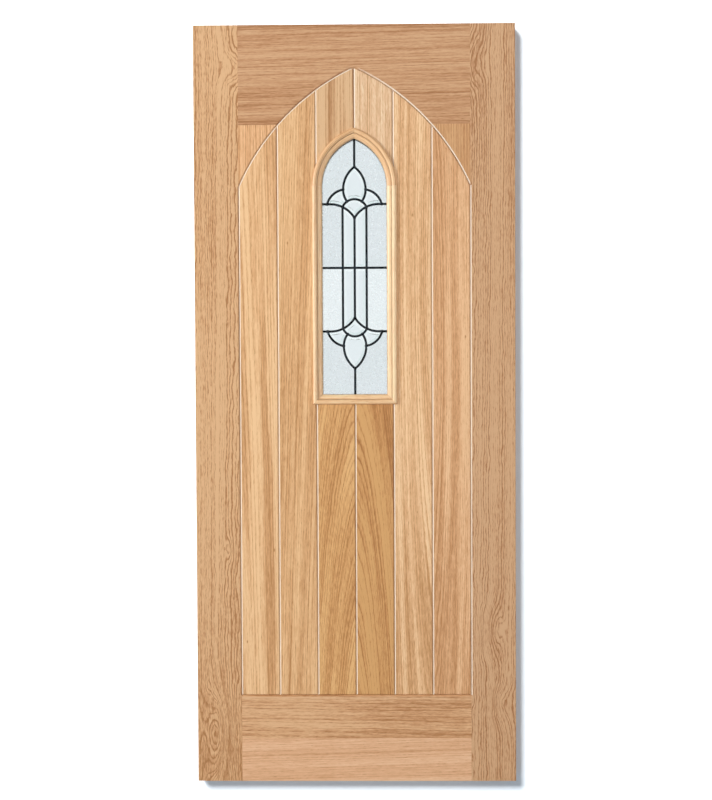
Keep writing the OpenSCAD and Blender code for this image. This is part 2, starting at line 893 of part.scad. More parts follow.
module middle_field_glass() {
    field_glass(sill_cross_z, head_cross_z, upright_x);
}

module sill_field_glass() {
    field_glass(0, sill_cross_z, 0);
}

left_stile();
right_stile();
top_rail();
bottom_rail_upper();
bottom_rail_lower();
left_spandrel();
right_spandrel();
frame_dowels();
long_board(0);  // front_board_1
long_board(1);  // front_board_2
short_board(2);  // front_board_3
head_board(2);  // front_board_3_head
short_board(3);  // front_board_4
head_board(3);  // front_board_4_head
long_board(4);  // front_board_5
long_board(5);  // front_board_6
back() long_board(0);  // back_board_1
back() long_board(1);  // back_board_2
back() short_board(2);  // back_board_3
back() head_board(2);  // back_board_3_head
back() short_board(3);  // back_board_4
back() head_board(3);  // back_board_4_head
back() long_board(4);  // back_board_5
back() long_board(5);  // back_board_6
left_core();
right_core();
lower_core();
left_muntin();
right_muntin();
light_sill_block();
light_head_block();
bead_left_arch();  // front_bead_left_arch
bead_right_arch();  // front_bead_right_arch
bead_left_side();  // front_bead_left_side
bead_right_side();  // front_bead_right_side
bead_sill();  // front_bead_sill
back() bead_left_arch();  // back_bead_left_arch
back() bead_right_arch();  // back_bead_right_arch
back() bead_left_side();  // back_bead_left_side
back() bead_right_side();  // back_bead_right_side
back() bead_sill();  // back_bead_sill
bead_pins();
front_pane();
back() front_pane();  // rear_pane
front_spacer();
back() front_spacer();  // rear_spacer
front_glazing_tape();
back() front_glazing_tape();  // rear_glazing_tape
setting_blocks();
came_lattice();
head_field_glass();
middle_field_glass();
sill_field_glass();
teardrop_bevels();
fan_bevels();
shield_bevels();
strip_bevels();
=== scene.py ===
"""Looks and stage for a boarded oak door leaf with a pointed-arch panel and a leaded lancet light."""

import math
from collections import namedtuple

import bmesh
import bpy
from mathutils import Matrix, Vector


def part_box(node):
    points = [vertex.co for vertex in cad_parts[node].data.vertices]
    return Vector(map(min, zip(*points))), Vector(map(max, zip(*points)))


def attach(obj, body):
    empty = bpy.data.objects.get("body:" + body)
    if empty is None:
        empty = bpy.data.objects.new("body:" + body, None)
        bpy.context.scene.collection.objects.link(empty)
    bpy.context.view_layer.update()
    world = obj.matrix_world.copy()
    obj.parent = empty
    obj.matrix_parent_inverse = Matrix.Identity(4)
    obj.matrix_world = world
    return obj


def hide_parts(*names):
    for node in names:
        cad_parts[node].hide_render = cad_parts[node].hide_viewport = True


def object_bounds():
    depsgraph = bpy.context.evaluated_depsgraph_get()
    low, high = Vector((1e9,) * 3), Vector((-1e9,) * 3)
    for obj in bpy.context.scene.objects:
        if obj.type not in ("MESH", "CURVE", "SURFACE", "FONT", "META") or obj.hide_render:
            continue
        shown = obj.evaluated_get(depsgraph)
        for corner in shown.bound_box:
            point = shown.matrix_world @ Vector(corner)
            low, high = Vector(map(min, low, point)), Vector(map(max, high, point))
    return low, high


bl_info = {
    "name": "Boarded oak door leaf",
    "version": (1, 0, 0),
    "blender": (4, 5, 0),
    "location": "3D View > Sidebar > Door",
    "description": "Dresses the packed leaf with oak, moulded beads, a leaded light, glass and a stage",
    "category": "Object",
}

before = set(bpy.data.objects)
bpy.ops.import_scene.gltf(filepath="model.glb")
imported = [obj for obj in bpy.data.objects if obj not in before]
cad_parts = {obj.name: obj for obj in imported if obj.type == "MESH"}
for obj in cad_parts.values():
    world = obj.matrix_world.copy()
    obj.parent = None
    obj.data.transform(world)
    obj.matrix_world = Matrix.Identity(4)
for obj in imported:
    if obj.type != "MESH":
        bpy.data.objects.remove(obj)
CAD_LOW, CAD_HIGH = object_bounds()

# Sizes that the frame gives, in metres
HALF_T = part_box("left_stile")[1].y
SPRING_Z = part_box("front_bead_left_side")[1].z
SILL_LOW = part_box("front_bead_sill")[0].z
BEAD_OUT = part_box("front_bead_sill")[1].x

# Height of the light's middle bar
BAR_Z = sum(corner.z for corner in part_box("middle_field_glass")) / 2


def tone(red, green, blue):
    """A colour given as eight-bit screen values, as the renderer's linear values."""
    linear = []
    for value in (red, green, blue):
        c = value / 255
        linear.append(c / 12.92 if c <= 0.04045 else ((c + 0.055) / 1.055) ** 2.4)
    return tuple(linear)


# Properties


def length_prop(name, description, default, **more):
    return bpy.props.FloatProperty(name=name, description=description, default=default, unit="LENGTH", **more)


def share_prop(name, description, default):
    return bpy.props.FloatProperty(
        name=name, description=description, default=default, min=0, max=1, subtype="FACTOR"
    )


def power_prop(name, description, default):
    return bpy.props.FloatProperty(name=name, description=description, default=default, min=0, unit="POWER")


def angle_prop(name, description, degrees):
    return bpy.props.FloatProperty(
        name=name, description=description, default=math.radians(degrees), subtype="ANGLE"
    )


def colour_prop(name, description, *screen):
    return bpy.props.FloatVectorProperty(
        name=name, description=description, default=tone(*screen), size=3, subtype="COLOR", min=0, max=1
    )


class DoorOakLook(bpy.types.PropertyGroup):
    """Finish of the oak, and the painted highlight and painted shade in its grooves."""

    lacquer: share_prop("Lacquer", "Weight of the satin lacquer over the oak", 0.4)
    bead_lacquer: share_prop("Lacquer on the beads", "Weight of the lacquer over the beads", 1.0)
    satin: share_prop("Satin", "Roughness of the lacquer", 0.42)
    # Painted highlight on the V joints' slopes that look left or up
    highlighted: share_prop("Painted highlight", "How pale the planed edges in the V joints are", 0.9)
    highlight_colour: colour_prop("Highlight colour", "Colour of the painted highlight on the planed edges", 250, 236, 216)
    # Painted shade on the V joints' slopes that look right or down, and in the beads' quirk
    painted_shade: share_prop("Painted shade", "How dark the stained edges in the V joints are", 0.27)
    shade_colour: colour_prop("Shade colour", "Colour of the painted shade on the other edge of each joint", 120, 82, 64)
    grain_depth: length_prop("Grain depth", "Depth of the open grain", 0.0006)


class DoorBeadShape(bpy.types.PropertyGroup):
    """Section of the bead around the light."""

    width: length_prop("Width", "Width of the bead", 0.026)
    rebate: length_prop("Rebate", "Width of the bead's leg inside the aperture", 0.016)
    depth: length_prop("Depth", "Depth of the bead's leg below the leaf's face", 0.009)
    nose: length_prop("Nose", "Height of the square nose at the glass", 0.003)
    ovolo: length_prop("Ovolo", "Width of the ovolo", 0.0118)
    ovolo_top: length_prop("Ovolo top", "Height of the ovolo's top above the face", 0.0015)
    quirk: length_prop("Quirk", "Width of the quirk", 0.0012)
    quirk_floor: length_prop("Quirk floor", "Depth of the quirk below the face", 0.001)
    round_r: length_prop("Half-round", "Radius of the outer half-round", 0.0065)
    round_lift: length_prop("Lift", "Lift of the half-round's centre above the face", 0.0005)
    head_radius: length_prop("Head radius", "Radius of the lancet head at the sight line", 0.132)
    gap: length_prop("Joint gap", "Gap at each mitre and joint", 0.0003, precision=5)


class DoorLeadShape(bpy.types.PropertyGroup):
    """Sizes of the leaded pattern and its cames."""

    face: length_prop("Came face", "Face width of a came", 0.006)
    border_face: length_prop("Border face", "Face width of the border came", 0.007)
    depth: length_prop("Came depth", "Depth of a came", 0.0064)
    flange: length_prop("Flange", "Thickness of a flange", 0.0011)
    heart: length_prop("Heart", "Thickness of the heart", 0.0012)
    solder: length_prop("Solder", "Radius of the solder at a joint", 0.0042)
    pattern_w: length_prop("Pattern width", "Width of light that the pattern's widths are given for", 0.17)
    border_out: length_prop("Border", "Outer edge of the border came past the sight line", 0.012)
    upright: length_prop("Uprights", "Distance of the outer uprights from the middle", 0.0315)
    tear_half: length_prop("Teardrop", "Half the width of a teardrop", 0.0297)
    tear_h: length_prop("Teardrop height", "Teardrop's tip past its cross came", 0.097)
    tear_belly: length_prop("Teardrop belly", "Teardrop's belly past its cross came", 0.038)
    tear_foot: length_prop("Teardrop foot", "Half the teardrop's width on the shield", 0.0195)
    tip_head: length_prop("Gap at the head", "From the sight line's point to the upper tip", 0.072)
    tip_sill: length_prop("Gap at the sill", "From the sill's sight line to the lower tip", 0.068)
    ogee_drop: length_prop("Shield point", "Shield's point below its cross came", 0.036)
    shield_rise: length_prop("Shield round", "Shield's round above its cross came", 0.013)
    fan_margin: length_prop("Fan margin", "From the sight line to a fan's foot", 0.013)
    fan_heel: length_prop("Fan heel", "From a fan's foot to the bend of its cross came", 0.008)
    fan_r: length_prop("Fan radius", "Radius of a fan's outer came", 0.052)
    colour: colour_prop("Lead", "Colour of the darkened lead", 10, 22, 30)


class DoorGlassLook(bpy.types.PropertyGroup):
    """Tints and texture of the glass, with painted light on the bevels."""

    field: colour_prop("Textured glass", "Tint of the textured fields", 236, 237, 241)
    middle: colour_prop("Middle fields", "Tint of the two fields below the middle bar", 249, 249, 252)
    clear: colour_prop("Clear glass", "Tint of the bevelled pieces", 239, 241, 245)
    # Painted highlight on the bevels that face up and left, and painted shade on those that face down and
    # right
    bevel: colour_prop("Bevel", "Painted highlight on the bevels that face up", 253, 254, 255)
    bevel_painted_shade: colour_prop("Bevel painted shade", "Painted shade on the bevels that face down", 218, 229, 230)
    pebble: length_prop("Pebble", "Size of the texture's pebbles", 0.0035)


class DoorStageSetup(bpy.types.PropertyGroup):
    """Camera, light and background."""

    lens: bpy.props.FloatProperty(
        name="Lens", description="Focal length in millimetres", default=70, min=20, max=200, unit="CAMERA"
    )
    eye: bpy.props.FloatVectorProperty(
        name="Eye",
        description="Place of the camera",
        default=(0.075, -4.089, 1.131),
        size=3,
        subtype="XYZ",
        unit="LENGTH",
    )
    pitch: angle_prop("Pitch", "Downward tilt of the camera", 1.782)
    yaw: angle_prop("Yaw", "Turn of the camera to the right", -1.027)
    roll: angle_prop("Roll", "Roll of the camera", -0.271)
    floor_drop: length_prop("Floor clearance", "Clearance under the leaf", 0.055)
    wall_gap: length_prop("Wall gap", "From the leaf's back to the wall", 0.01)
    rake: power_prop("Raking light", "Power of the light that rakes the leaf", 350)
    front: power_prop("Front light", "Power of the broad light above the camera", 62)
    right: power_prop("Right light", "Power of the weak lamp on the right", 76)
    back: power_prop("Back light", "Power of the light behind", 160)
    wall: power_prop("Wall light", "Power of the light on the wall and floor", 2100)
    fill: bpy.props.FloatProperty(
        name="Fill", description="Strength of the world's light", default=0.25, min=0, max=2
    )


GROUPS = {
    "door_oak": DoorOakLook,
    "door_bead": DoorBeadShape,
    "door_lead": DoorLeadShape,
    "door_glass": DoorGlassLook,
    "door_stage": DoorStageSetup,
}


# Helpers for nodes and objects


def add(tree, kind, inputs=None, **settings):
    """A node with its settings and its inputs, which are values or other sockets."""
    made = tree.nodes.new(kind)
    for name, value in settings.items():
        setattr(made, name, value)
    for name, value in (inputs or {}).items():
        socket = made.inputs[name]
        if isinstance(value, bpy.types.NodeSocket):
            tree.links.new(value, socket)
        else:
            socket.default_value = value
    return made


def calc(tree, operation, *values, clamp=False):
    """Output of a Math node."""
    inputs = dict(enumerate(values))
    return add(tree, "ShaderNodeMath", inputs, operation=operation, use_clamp=clamp).outputs[0]


def ramp(tree, value, low, high, to_low=0.0, to_high=1.0):
    """A value mapped smoothly from one range to another, held at the ends."""
    return add(
        tree,
        "ShaderNodeMapRange",
        {"Value": value, "From Min": low, "From Max": high, "To Min": to_low, "To Max": to_high},
        interpolation_type="SMOOTHSTEP",
        clamp=True,
    ).outputs["Result"]


def join(tree, x, y, z):
    return add(tree, "ShaderNodeCombineXYZ", {"X": x, "Y": y, "Z": z}).outputs[0]


def split(tree, vector):
    """The X, Y and Z of a vector."""
    return add(tree, "ShaderNodeSeparateXYZ", {0: vector}).outputs


def object_spot(tree):
    return add(tree, "ShaderNodeTexCoord").outputs["Object"]


def cells(tree, count):
    """Object coordinates with this many units to the metre."""
    inputs = {0: object_spot(tree), 1: (count, count, count)}
    return add(tree, "ShaderNodeVectorMath", inputs, operation="MULTIPLY").outputs[0]


def facing(tree):
    """The X, Y and Z of the direction that a face looks in."""
    return split(tree, add(tree, "ShaderNodeNewGeometry").outputs["True Normal"])


def noise(tree, vector, detail=1.0, roughness=0.5):
    inputs = {"Vector": vector, "Scale": 1.0, "Detail": detail, "Roughness": roughness}
    return add(tree, "ShaderNodeTexNoise", inputs).outputs["Fac"]


def blend_colours(tree, factor, a, b):
    made = add(tree, "ShaderNodeMix", data_type="RGBA", clamp_factor=True)
    for key, value in ((0, factor), (6, a), (7, b)):
        if isinstance(value, bpy.types.NodeSocket):
            tree.links.new(value, made.inputs[key])
        elif key == 0:
            made.inputs[key].default_value = value
        else:
            made.inputs[key].default_value = (*value[:3], 1)
    return made.outputs[2]


def bumped(tree, height, strength, distance):
    inputs = {"Strength": strength, "Distance": distance, "Height": height}
    return add(tree, "ShaderNodeBump", inputs).outputs[0]


def new_group(name, inputs, outputs):
    """A shader group with its sockets, its input node and its output node."""
    tree = bpy.data.node_groups.new(name, "ShaderNodeTree")
    kinds = {"f": "NodeSocketFloat", "v": "NodeSocketVector", "c": "NodeSocketColor"}
    for label, kind in inputs:
        tree.interface.new_socket(label, in_out="INPUT", socket_type=kinds[kind])
    for label, kind in outputs:
        tree.interface.new_socket(label, in_out="OUTPUT", socket_type=kinds[kind])
    return tree, tree.nodes.new("NodeGroupInput").outputs, tree.nodes.new("NodeGroupOutput").inputs


def new_material(name):
    material = bpy.data.materials.new(name)
    material.use_nodes = True
    material.node_tree.nodes.clear()
    return material, material.node_tree


def finish_material(tree, shader):
    add(tree, "ShaderNodeOutputMaterial", {"Surface": shader.outputs[0]})


def principled(tree, inputs):
    """The main shader, with its inputs, as the material's surface."""
    finish_material(tree, add(tree, "ShaderNodeBsdfPrincipled", inputs))


def dress(node, material):
    """Gives a packed node its material."""
    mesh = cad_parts[node].data
    mesh.materials.clear()
    mesh.materials.append(material)


def new_object(name, data):
    made = bpy.data.objects.new(name, data)
    bpy.context.scene.collection.objects.link(made)
    return made


def smoothed(mesh, crease):
    """Shades a mesh smooth, apart from edges sharper than the crease."""
    for polygon in mesh.polygons:
        polygon.use_smooth = True
    mesh.set_sharp_from_angle(angle=crease)


# Oak

# Numbers that the oak figure takes for each piece
OAK_NUMBERS = (
    "Wander", "Wander width", "Wander length", "Ring", "Early",
    "Lines", "Streaks", "Fibres", "Flecks", "Pores",
)

# Threads to a metre, across and along the stem
FIBRE_COUNT = (380.0, 18.0)
FLECK_COUNT = (400.0, 70.0)
PORE_COUNT = (900.0, 80.0)

# How far the dark and the pale wood stand from a piece's body colour
DARK_SHARE = (0.68, 0.58, 0.42)
PALE_SHARE = (1.24, 1.44, 1.66)
PALEST = 0.95


def bell_group():
    """A bell-shaped bulge: of the growth rings, or a pale or dark mark in the grain."""
    name = "Bell"
    if name in bpy.data.node_groups:
        return bpy.data.node_groups[name]
    sizes = [(label, "f") for label in ("Across", "Along", "Width", "Length", "Height")]
    tree, given, result = new_group(name, [("Place", "v"), *sizes], [("Bulge", "f")])
    xyz = split(tree, given["Place"])
    a = calc(tree, "DIVIDE", calc(tree, "SUBTRACT", xyz["X"], given["Across"]), given["Width"])
    b = calc(tree, "DIVIDE", calc(tree, "SUBTRACT", xyz["Z"], given["Along"]), given["Length"])
    reach = calc(tree, "ADD", calc(tree, "MULTIPLY", a, a), calc(tree, "MULTIPLY", b, b))
    bell = calc(tree, "EXPONENT", calc(tree, "MULTIPLY", reach, -1.0))
    tree.links.new(calc(tree, "MULTIPLY", bell, given["Height"]), result["Bulge"])
    return tree


def oak_group():
    """Oak as a solid: growth rings round a leaning pith, streaks, fibres, flecks and open pores."""
    name = "Oak figure"
    if name in bpy.data.node_groups:
        return bpy.data.node_groups[name]
    vectors = [(label, "v") for label in ("Place", "Pith", "Lean")]
    numbers = [(label, "f") for label in ("Swell", "Lift", "Seed", *OAK_NUMBERS)]
    colours = [(label, "c") for label in ("Pale", "Body", "Dark")]
    tree, given, result = new_group(
        name, vectors + numbers + colours, [("Colour", "c"), ("Height", "f"), ("Roughness", "f")]
    )

    def do(operation, *values, clamp=False):
        return calc(tree, operation, *values, clamp=clamp)

    place = split(tree, given["Place"])
    pith = split(tree, given["Pith"])
    lean = split(tree, given["Lean"])
    along = place["Z"]
    seed = given["Seed"]

    # Place across and behind the pith line, which leans along the piece
    u = do("SUBTRACT", do("SUBTRACT", place["X"], pith["X"]), do("MULTIPLY", lean["X"], along))
    v = do("SUBTRACT", do("SUBTRACT", place["Y"], pith["Y"]), do("MULTIPLY", lean["Y"], along))
    wander_at = join(
        tree,
        do("ADD", do("DIVIDE", place["X"], given["Wander width"]), seed),
        do("DIVIDE", do("MULTIPLY", place["Y"], 0.3), given["Wander width"]),
        do("DIVIDE", along, given["Wander length"]),
    )
    wander = do("MULTIPLY", do("SUBTRACT", noise(tree, wander_at, 4.0, 0.55), 0.5), 2.0)
    shift = do("MULTIPLY", wander, given["Wander"])
    radius = do("SQRT", do("ADD", do("MULTIPLY", u, u), do("MULTIPLY", v, v)))
    radius = do("ADD", do("ADD", radius, shift), given["Swell"])

    # Growth rings of uneven width and strength: porous early wood at the start of each
    count = do("DIVIDE", radius, given["Ring"])
    uneven = noise(tree, join(tree, do("MULTIPLY_ADD", count, 0.33, seed), seed, 0.0))
    count = do("MULTIPLY_ADD", uneven, 3.0, count)
    part = do("FRACT", count)
    rank = do("ADD", do("FLOOR", count), seed)
    strength = add(tree, "ShaderNodeTexWhiteNoise", {"W": rank}, noise_dimensions="1D").outputs["Value"]
    early = do("MAXIMUM", ramp(tree, part, 0.0, given["Early"], 1.0, 0.0), ramp(tree, part, 0.86, 1.0))
    line = do("MULTIPLY", early, do("MULTIPLY_ADD", strength, 0.8, 0.2))

    # Broad streaks that keep to the rings
    streak_at = join(
        tree, do("MULTIPLY_ADD", radius, 60.0, seed), do("MULTIPLY", u, 6.0), do("MULTIPLY", along, 0.9)
    )
    streak = ramp(tree, noise(tree, streak_at, 2.0), 0.28, 0.72, -1.0, 1.0)

    # Fibres, flecks and pores that run with the stem
    run = do("ADD", u, shift)

    def threads(counts, detail, roughness=0.5):
        fine, long = counts
        x = do("MULTIPLY_ADD", run, fine, seed)
        y = do("MULTIPLY", v, fine)
        return noise(tree, join(tree, x, y, do("MULTIPLY", along, long)), detail, roughness)

    fibre = do("SUBTRACT", threads(FIBRE_COUNT, 2.0, 0.6), 0.5)
    fleck = do("SUBTRACT", threads(FLECK_COUNT, 1.5, 0.6), 0.5)
    pore = ramp(tree, threads(PORE_COUNT, 1.0), 0.58, 0.70)
    pore = do("MULTIPLY", pore, do("MULTIPLY_ADD", early, 0.7, 0.3))

    # Shade from dark (0) through the body (0.5) to pale (1)
    shade = do("MULTIPLY_ADD", do("SUBTRACT", 0.3, line), given["Lines"], do("ADD", given["Lift"], 0.5))
    shade = do("MULTIPLY_ADD", streak, given["Streaks"], shade)
    shade = do("MULTIPLY_ADD", fibre, given["Fibres"], shade)
    shade = do("MULTIPLY_ADD", fleck, given["Flecks"], shade)
    shade = do("MULTIPLY_ADD", do("MULTIPLY", pore, -1.0), given["Pores"], shade)
    lower = blend_colours(tree, do("MULTIPLY", shade, 2.0, clamp=True), given["Dark"], given["Body"])
    colour = blend_colours(tree, do("MULTIPLY_ADD", shade, 2.0, -1.0, clamp=True), lower, given["Pale"])
    height = do("MULTIPLY_ADD", pore, -0.8, do("MULTIPLY_ADD", line, -0.5, do("MULTIPLY", fibre, 0.5)))
    rough = do("MULTIPLY_ADD", pore, 0.2, do("MULTIPLY_ADD", line, 0.12, 0.42))
    tree.links.new(colour, result["Colour"])
    tree.links.new(height, result["Height"])
    tree.links.new(rough, result["Roughness"])
    return tree


def bells(tree, at, rows):
    """The sum of some bells, each given by its place across and along, width, length and height."""
    labels = ("Across", "Along", "Width", "Length", "Height")
    total = None
    for row in rows:
        inputs = {"Place": at, **dict(zip(labels, row))}
        bell = add(tree, "ShaderNodeGroup", inputs, node_tree=bell_group()).outputs[0]
        total = bell if total is None else calc(tree, "ADD", total, bell)
    return total


def jointed(tree, colour, oak):
    """Oak with a painted highlight on one slope of each V joint and a painted shade on the other."""
    # The slopes of a V, which lean by 45 degrees and lie just below the face
    spot = split(tree, object_spot(tree))
    faced = facing(tree)
    below = ramp(tree, calc(tree, "ABSOLUTE", spot["Y"]), HALF_T - 0.0001, HALF_T - 0.0003)
    slant = calc(tree, "ABSOLUTE", faced["Y"])
    sloped = calc(tree, "MULTIPLY", ramp(tree, slant, 0.5, 0.6), ramp(tree, slant, 0.9, 0.8))
    edge = calc(tree, "MULTIPLY", below, sloped)

    # Slopes that look left or up get a painted highlight, and those that look right or down get a painted
    # shade
    side = calc(tree, "MULTIPLY_ADD", faced["Z"], -0.15, faced["X"])
    painted_highlight = calc(tree, "MULTIPLY", edge, ramp(tree, side, -0.12, -0.35))
    shaded = calc(tree, "MULTIPLY", edge, ramp(tree, side, -0.1, 0.25))
    colour = blend_colours(tree, calc(tree, "MULTIPLY", painted_highlight, oak.highlighted), colour, oak.highlight_colour)
    return blend_colours(tree, calc(tree, "MULTIPLY", shaded, oak.painted_shade), colour, oak.shade_colour)


def quirked(tree, colour, oak, at, quirk):
    """Oak with a painted shade in a moulding's quirk, which lies at the given distance across."""
    off = calc(tree, "ABSOLUTE", calc(tree, "SUBTRACT", split(tree, at)["X"], quirk))
    quirk_shade = calc(tree, "MULTIPLY", ramp(tree, off, 0.0013, 0.0005), 0.8 * oak.painted_shade)
    return blend_colours(tree, quirk_shade, colour, oak.shade_colour)


def oak_material(name, place, look, seed, joints=True, quirk=None):
    """Oak for one piece. place(tree) gives across, depth and along, in metres from the piece's middle."""
    oak = bpy.context.scene.door_oak
    look = {**OAK_DEFAULTS, **look}
    material, tree = new_material(name)
    at = place(tree)
    body = tone(*look["body"])
    given = {
        "Place": at,
        "Pith": (*look["pith"], 0),
        "Lean": (*look["lean"], 0),
        "Seed": seed,
        "Body": (*body, 1),
        "Dark": (*(c * s for c, s in zip(body, DARK_SHARE)), 1),
        "Pale": (*(min(PALEST, c * s) for c, s in zip(body, PALE_SHARE)), 1),
    }
    for label in OAK_NUMBERS:
        given[label] = look[label.lower().replace(" ", "_")]
    for label, rows in (("Swell", look["swells"]), ("Lift", look["marks"])):
        if rows:
            given[label] = bells(tree, at, rows)
    figure = add(tree, "ShaderNodeGroup", given, node_tree=oak_group()).outputs
    colour = figure["Colour"]
    # Painted highlight and painted shade on the slopes of the V joints
    if joints:
        colour = jointed(tree, colour, oak)
    # Painted shade in the bead's quirk
    if quirk is not None:
        colour = quirked(tree, colour, oak, at, quirk)
    principled(
        tree,
        {
            "Base Color": colour,
            "Roughness": figure["Roughness"],
            "Normal": bumped(tree, figure["Height"], 0.5, oak.grain_depth),
            "Specular IOR Level": 0.3,
            "Coat Weight": oak.lacquer if joints else oak.bead_lacquer,
            "Coat Roughness": oak.satin,
        },
    )
    return material


def straight_place(node, level):
    """Grain straight along X or up Z, with the distance across measured from the node's middle."""
    low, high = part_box(node)
    middle = (low + high) / 2
    across, along, centre = ("Z", "X", middle.z) if level else ("X", "Z", middle.x)

    def place(tree):
        spot = split(tree, object_spot(tree))
        return join(tree, calc(tree, "SUBTRACT", spot[across], centre), spot["Y"], spot[along])

    return place


def path_place(tree):
    """Across, depth and along from the piece's own attribute, which follows its path."""
    return add(tree, "ShaderNodeAttribute", attribute_name="grain").outputs["Vector"]


# How oak is sawn where a piece doesn't say: its pith and lean, and the size and strength of its grain
OAK_DEFAULTS = {
    "pith": (0.0, 0.09), "lean": (0.0, 0.0), "wander": 0.003, "wander_width": 0.042, "wander_length": 0.30,
    "ring": 0.005, "early": 0.48, "lines": 0.7, "streaks": 0.25, "fibres": 1.1, "flecks": 0.7, "pores": 0.4,
    "swells": (), "marks": (),
}

# Oak of each piece: its colour on the screen, and how it was sawn. Swells bend the rings, and marks
# lighten or darken the wood. Each is given by its place across and along, width, length and height.
FRAME_OAK = {
    "left_stile": {
        "body": (202, 150, 102), "pith": (0.11, 0.06), "lean": (0.0, 0.012),
        "wander": 0.0075, "wander_width": 0.028, "wander_length": 0.075,
        "ring": 0.0048, "early": 0.45, "lines": 1.6, "streaks": 0.32, "fibres": 1.5, "flecks": 2.1,
        "swells": (
            (-0.006, 0.121, 0.03, 0.10, 0.055),
            (0.028, 0.611, 0.01, 0.03, 0.012),
            (0.058, 1.87, 0.045, 0.04, 0.022),
        ),
        "marks": ((0.0, 1.0, 1.0, 0.35, 0.14), (0.0, 0.0, 1.0, 0.24, -0.34)),
    },
    "right_stile": {
        "body": (193, 142, 98), "pith": (-0.105, 0.06), "lean": (0.0, -0.012),
        "wander": 0.006, "wander_width": 0.025, "wander_length": 0.06,
        "ring": 0.0048, "early": 0.45, "lines": 1.6, "streaks": 0.26, "fibres": 1.5, "flecks": 2.1,
        "swells": (
            (0.0, 0.393, 0.03, 0.07, 0.024),
            (0.02, 0.2, 0.03, 0.06, 0.02),
            (-0.056, 1.88, 0.035, 0.07, 0.022),
        ),
        "marks": ((0.0, 1.0, 1.0, 0.35, 0.15), (0.0, 1.85, 1.0, 0.3, -0.12)),
    },
    "top_rail": {
        "body": (193, 141, 97), "pith": (0.30, 0.10), "lean": (0.02, 0.0),
        "wander": 0.005, "wander_length": 0.35,
        "ring": 0.0075, "early": 0.3, "lines": 0.5, "streaks": 0.3, "fibres": 1.4, "flecks": 0.8,
        "marks": (
            (0.126, 0.0, 0.010, 5.0, -0.35),
            (-0.121, 0.0, 0.0022, 5.0, -0.55),
            (-0.127, 0.0, 0.003, 5.0, -0.3),
        ),
    },
    "bottom_rail_upper": {
        "body": (205, 152, 105), "pith": (-0.10, 0.05), "lean": (0.0, 0.02),
        "wander": 0.005, "wander_length": 0.25,
        "ring": 0.0075, "early": 0.4, "lines": 0.65, "streaks": 0.3, "fibres": 1.7, "flecks": 1.2,
        "marks": ((-0.02, 0.13, 0.08, 0.15, -0.20), (0.0, -0.12, 0.10, 0.14, 0.10)),
    },
    "bottom_rail_lower": {
        "body": (227, 176, 133), "pith": (0.25, 0.02), "lean": (0.03, 0.0),
        "wander": 0.003, "wander_length": 0.4,
        "ring": 0.007, "lines": 0.22, "streaks": 0.14, "fibres": 0.8, "flecks": 0.4,
    },
    "left_spandrel": {"body": (224, 169, 118), "pith": (0.16, 0.05), "ring": 0.006, "streaks": 0.15},
    "right_spandrel": {"body": (194, 139, 89), "pith": (-0.18, 0.05), "ring": 0.006, "streaks": 0.3},
}

BOARD_OAK = {
    "board_1": {
        "body": (221, 169, 117), "pith": (-0.085, 0.045), "lean": (0.0, 0.02),
        "wander": 0.004, "wander_length": 0.6,
        "ring": 0.0062, "lines": 0.62, "streaks": 0.45, "fibres": 1.3,
        "marks": ((0.0345, 0.611, 0.0018, 0.0035, -1.2), (-0.038, 0.369, 0.0016, 0.003, -1.2)),
    },
    "board_2": {
        "body": (218, 166, 113), "pith": (0.13, 0.04), "lean": (0.015, 0.03), "wander_length": 0.5,
        "ring": 0.0055, "lines": 0.58, "streaks": 0.34, "fibres": 1.3,
        "marks": ((-0.027, 1.415, 0.0016, 0.003, -1.2),),
    },
    "board_3": {
        "body": (210, 154, 94), "pith": (0.073, -0.05), "lean": (0.0, -0.11), "wander_length": 0.12,
        "ring": 0.0042, "early": 0.4, "lines": 0.72, "streaks": 0.32, "fibres": 1.3,
    },
    "board_3_head": {
        "body": (203, 154, 107), "pith": (-0.14, 0.03), "ring": 0.0065, "lines": 1.0, "streaks": 0.8,
    },
    "board_4": {
        "body": (196, 138, 79), "pith": (-0.070, -0.045), "lean": (0.0, -0.10), "wander_length": 0.14,
        "ring": 0.0046, "early": 0.4, "lines": 0.8, "streaks": 0.5, "fibres": 1.3,
        "marks": (
            (-0.040, 0.686, 0.0022, 0.012, 0.45),
            (-0.030, 0.673, 0.0022, 0.014, 0.45),
            (-0.021, 0.654, 0.0022, 0.018, 0.45),
            (-0.014, 0.628, 0.0022, 0.022, 0.45),
            (-0.009, 0.594, 0.0022, 0.026, 0.4),
            (-0.005, 0.552, 0.0022, 0.03, 0.35),
        ),
    },
    "board_4_head": {
        "body": (232, 189, 146), "pith": (0.15, 0.04), "wander": 0.002, "lines": 0.5, "streaks": 0.2,
    },
    "board_5": {
        "body": (227, 177, 127), "pith": (0.058, 0.06), "lean": (0.0, -0.06), "wander_length": 0.4,
        "ring": 0.0055, "lines": 0.6, "streaks": 0.35,
        "marks": (
            (-0.002, 1.486, 0.0018, 0.0035, -1.2),
            (0.0, 1.0, 1.0, 0.3, 0.12),
            (0.0, 0.45, 1.0, 0.25, -0.17),
        ),
    },
    "board_6": {
        "body": (219, 165, 116), "pith": (-0.065, 0.05), "lean": (0.0, -0.06),
        "wander": 0.004, "wander_length": 0.4,
        "ring": 0.0058, "lines": 0.62, "streaks": 0.38, "fibres": 1.3,
        "marks": ((0.037, 1.169, 0.0016, 0.003, -1.2), (0.0, 1.6, 1.0, 0.25, -0.12)),
    },
}

BEAD_OAK = {
    "pith": (0.09, 0.03), "wander": 0.0012, "wander_length": 0.2,
    "ring": 0.0038, "lines": 0.55, "streaks": 0.25, "flecks": 0.4,
}
BEAD_TONES = {"arch": (234, 185, 133), "side": (236, 189, 139), "sill": (240, 193, 142)}

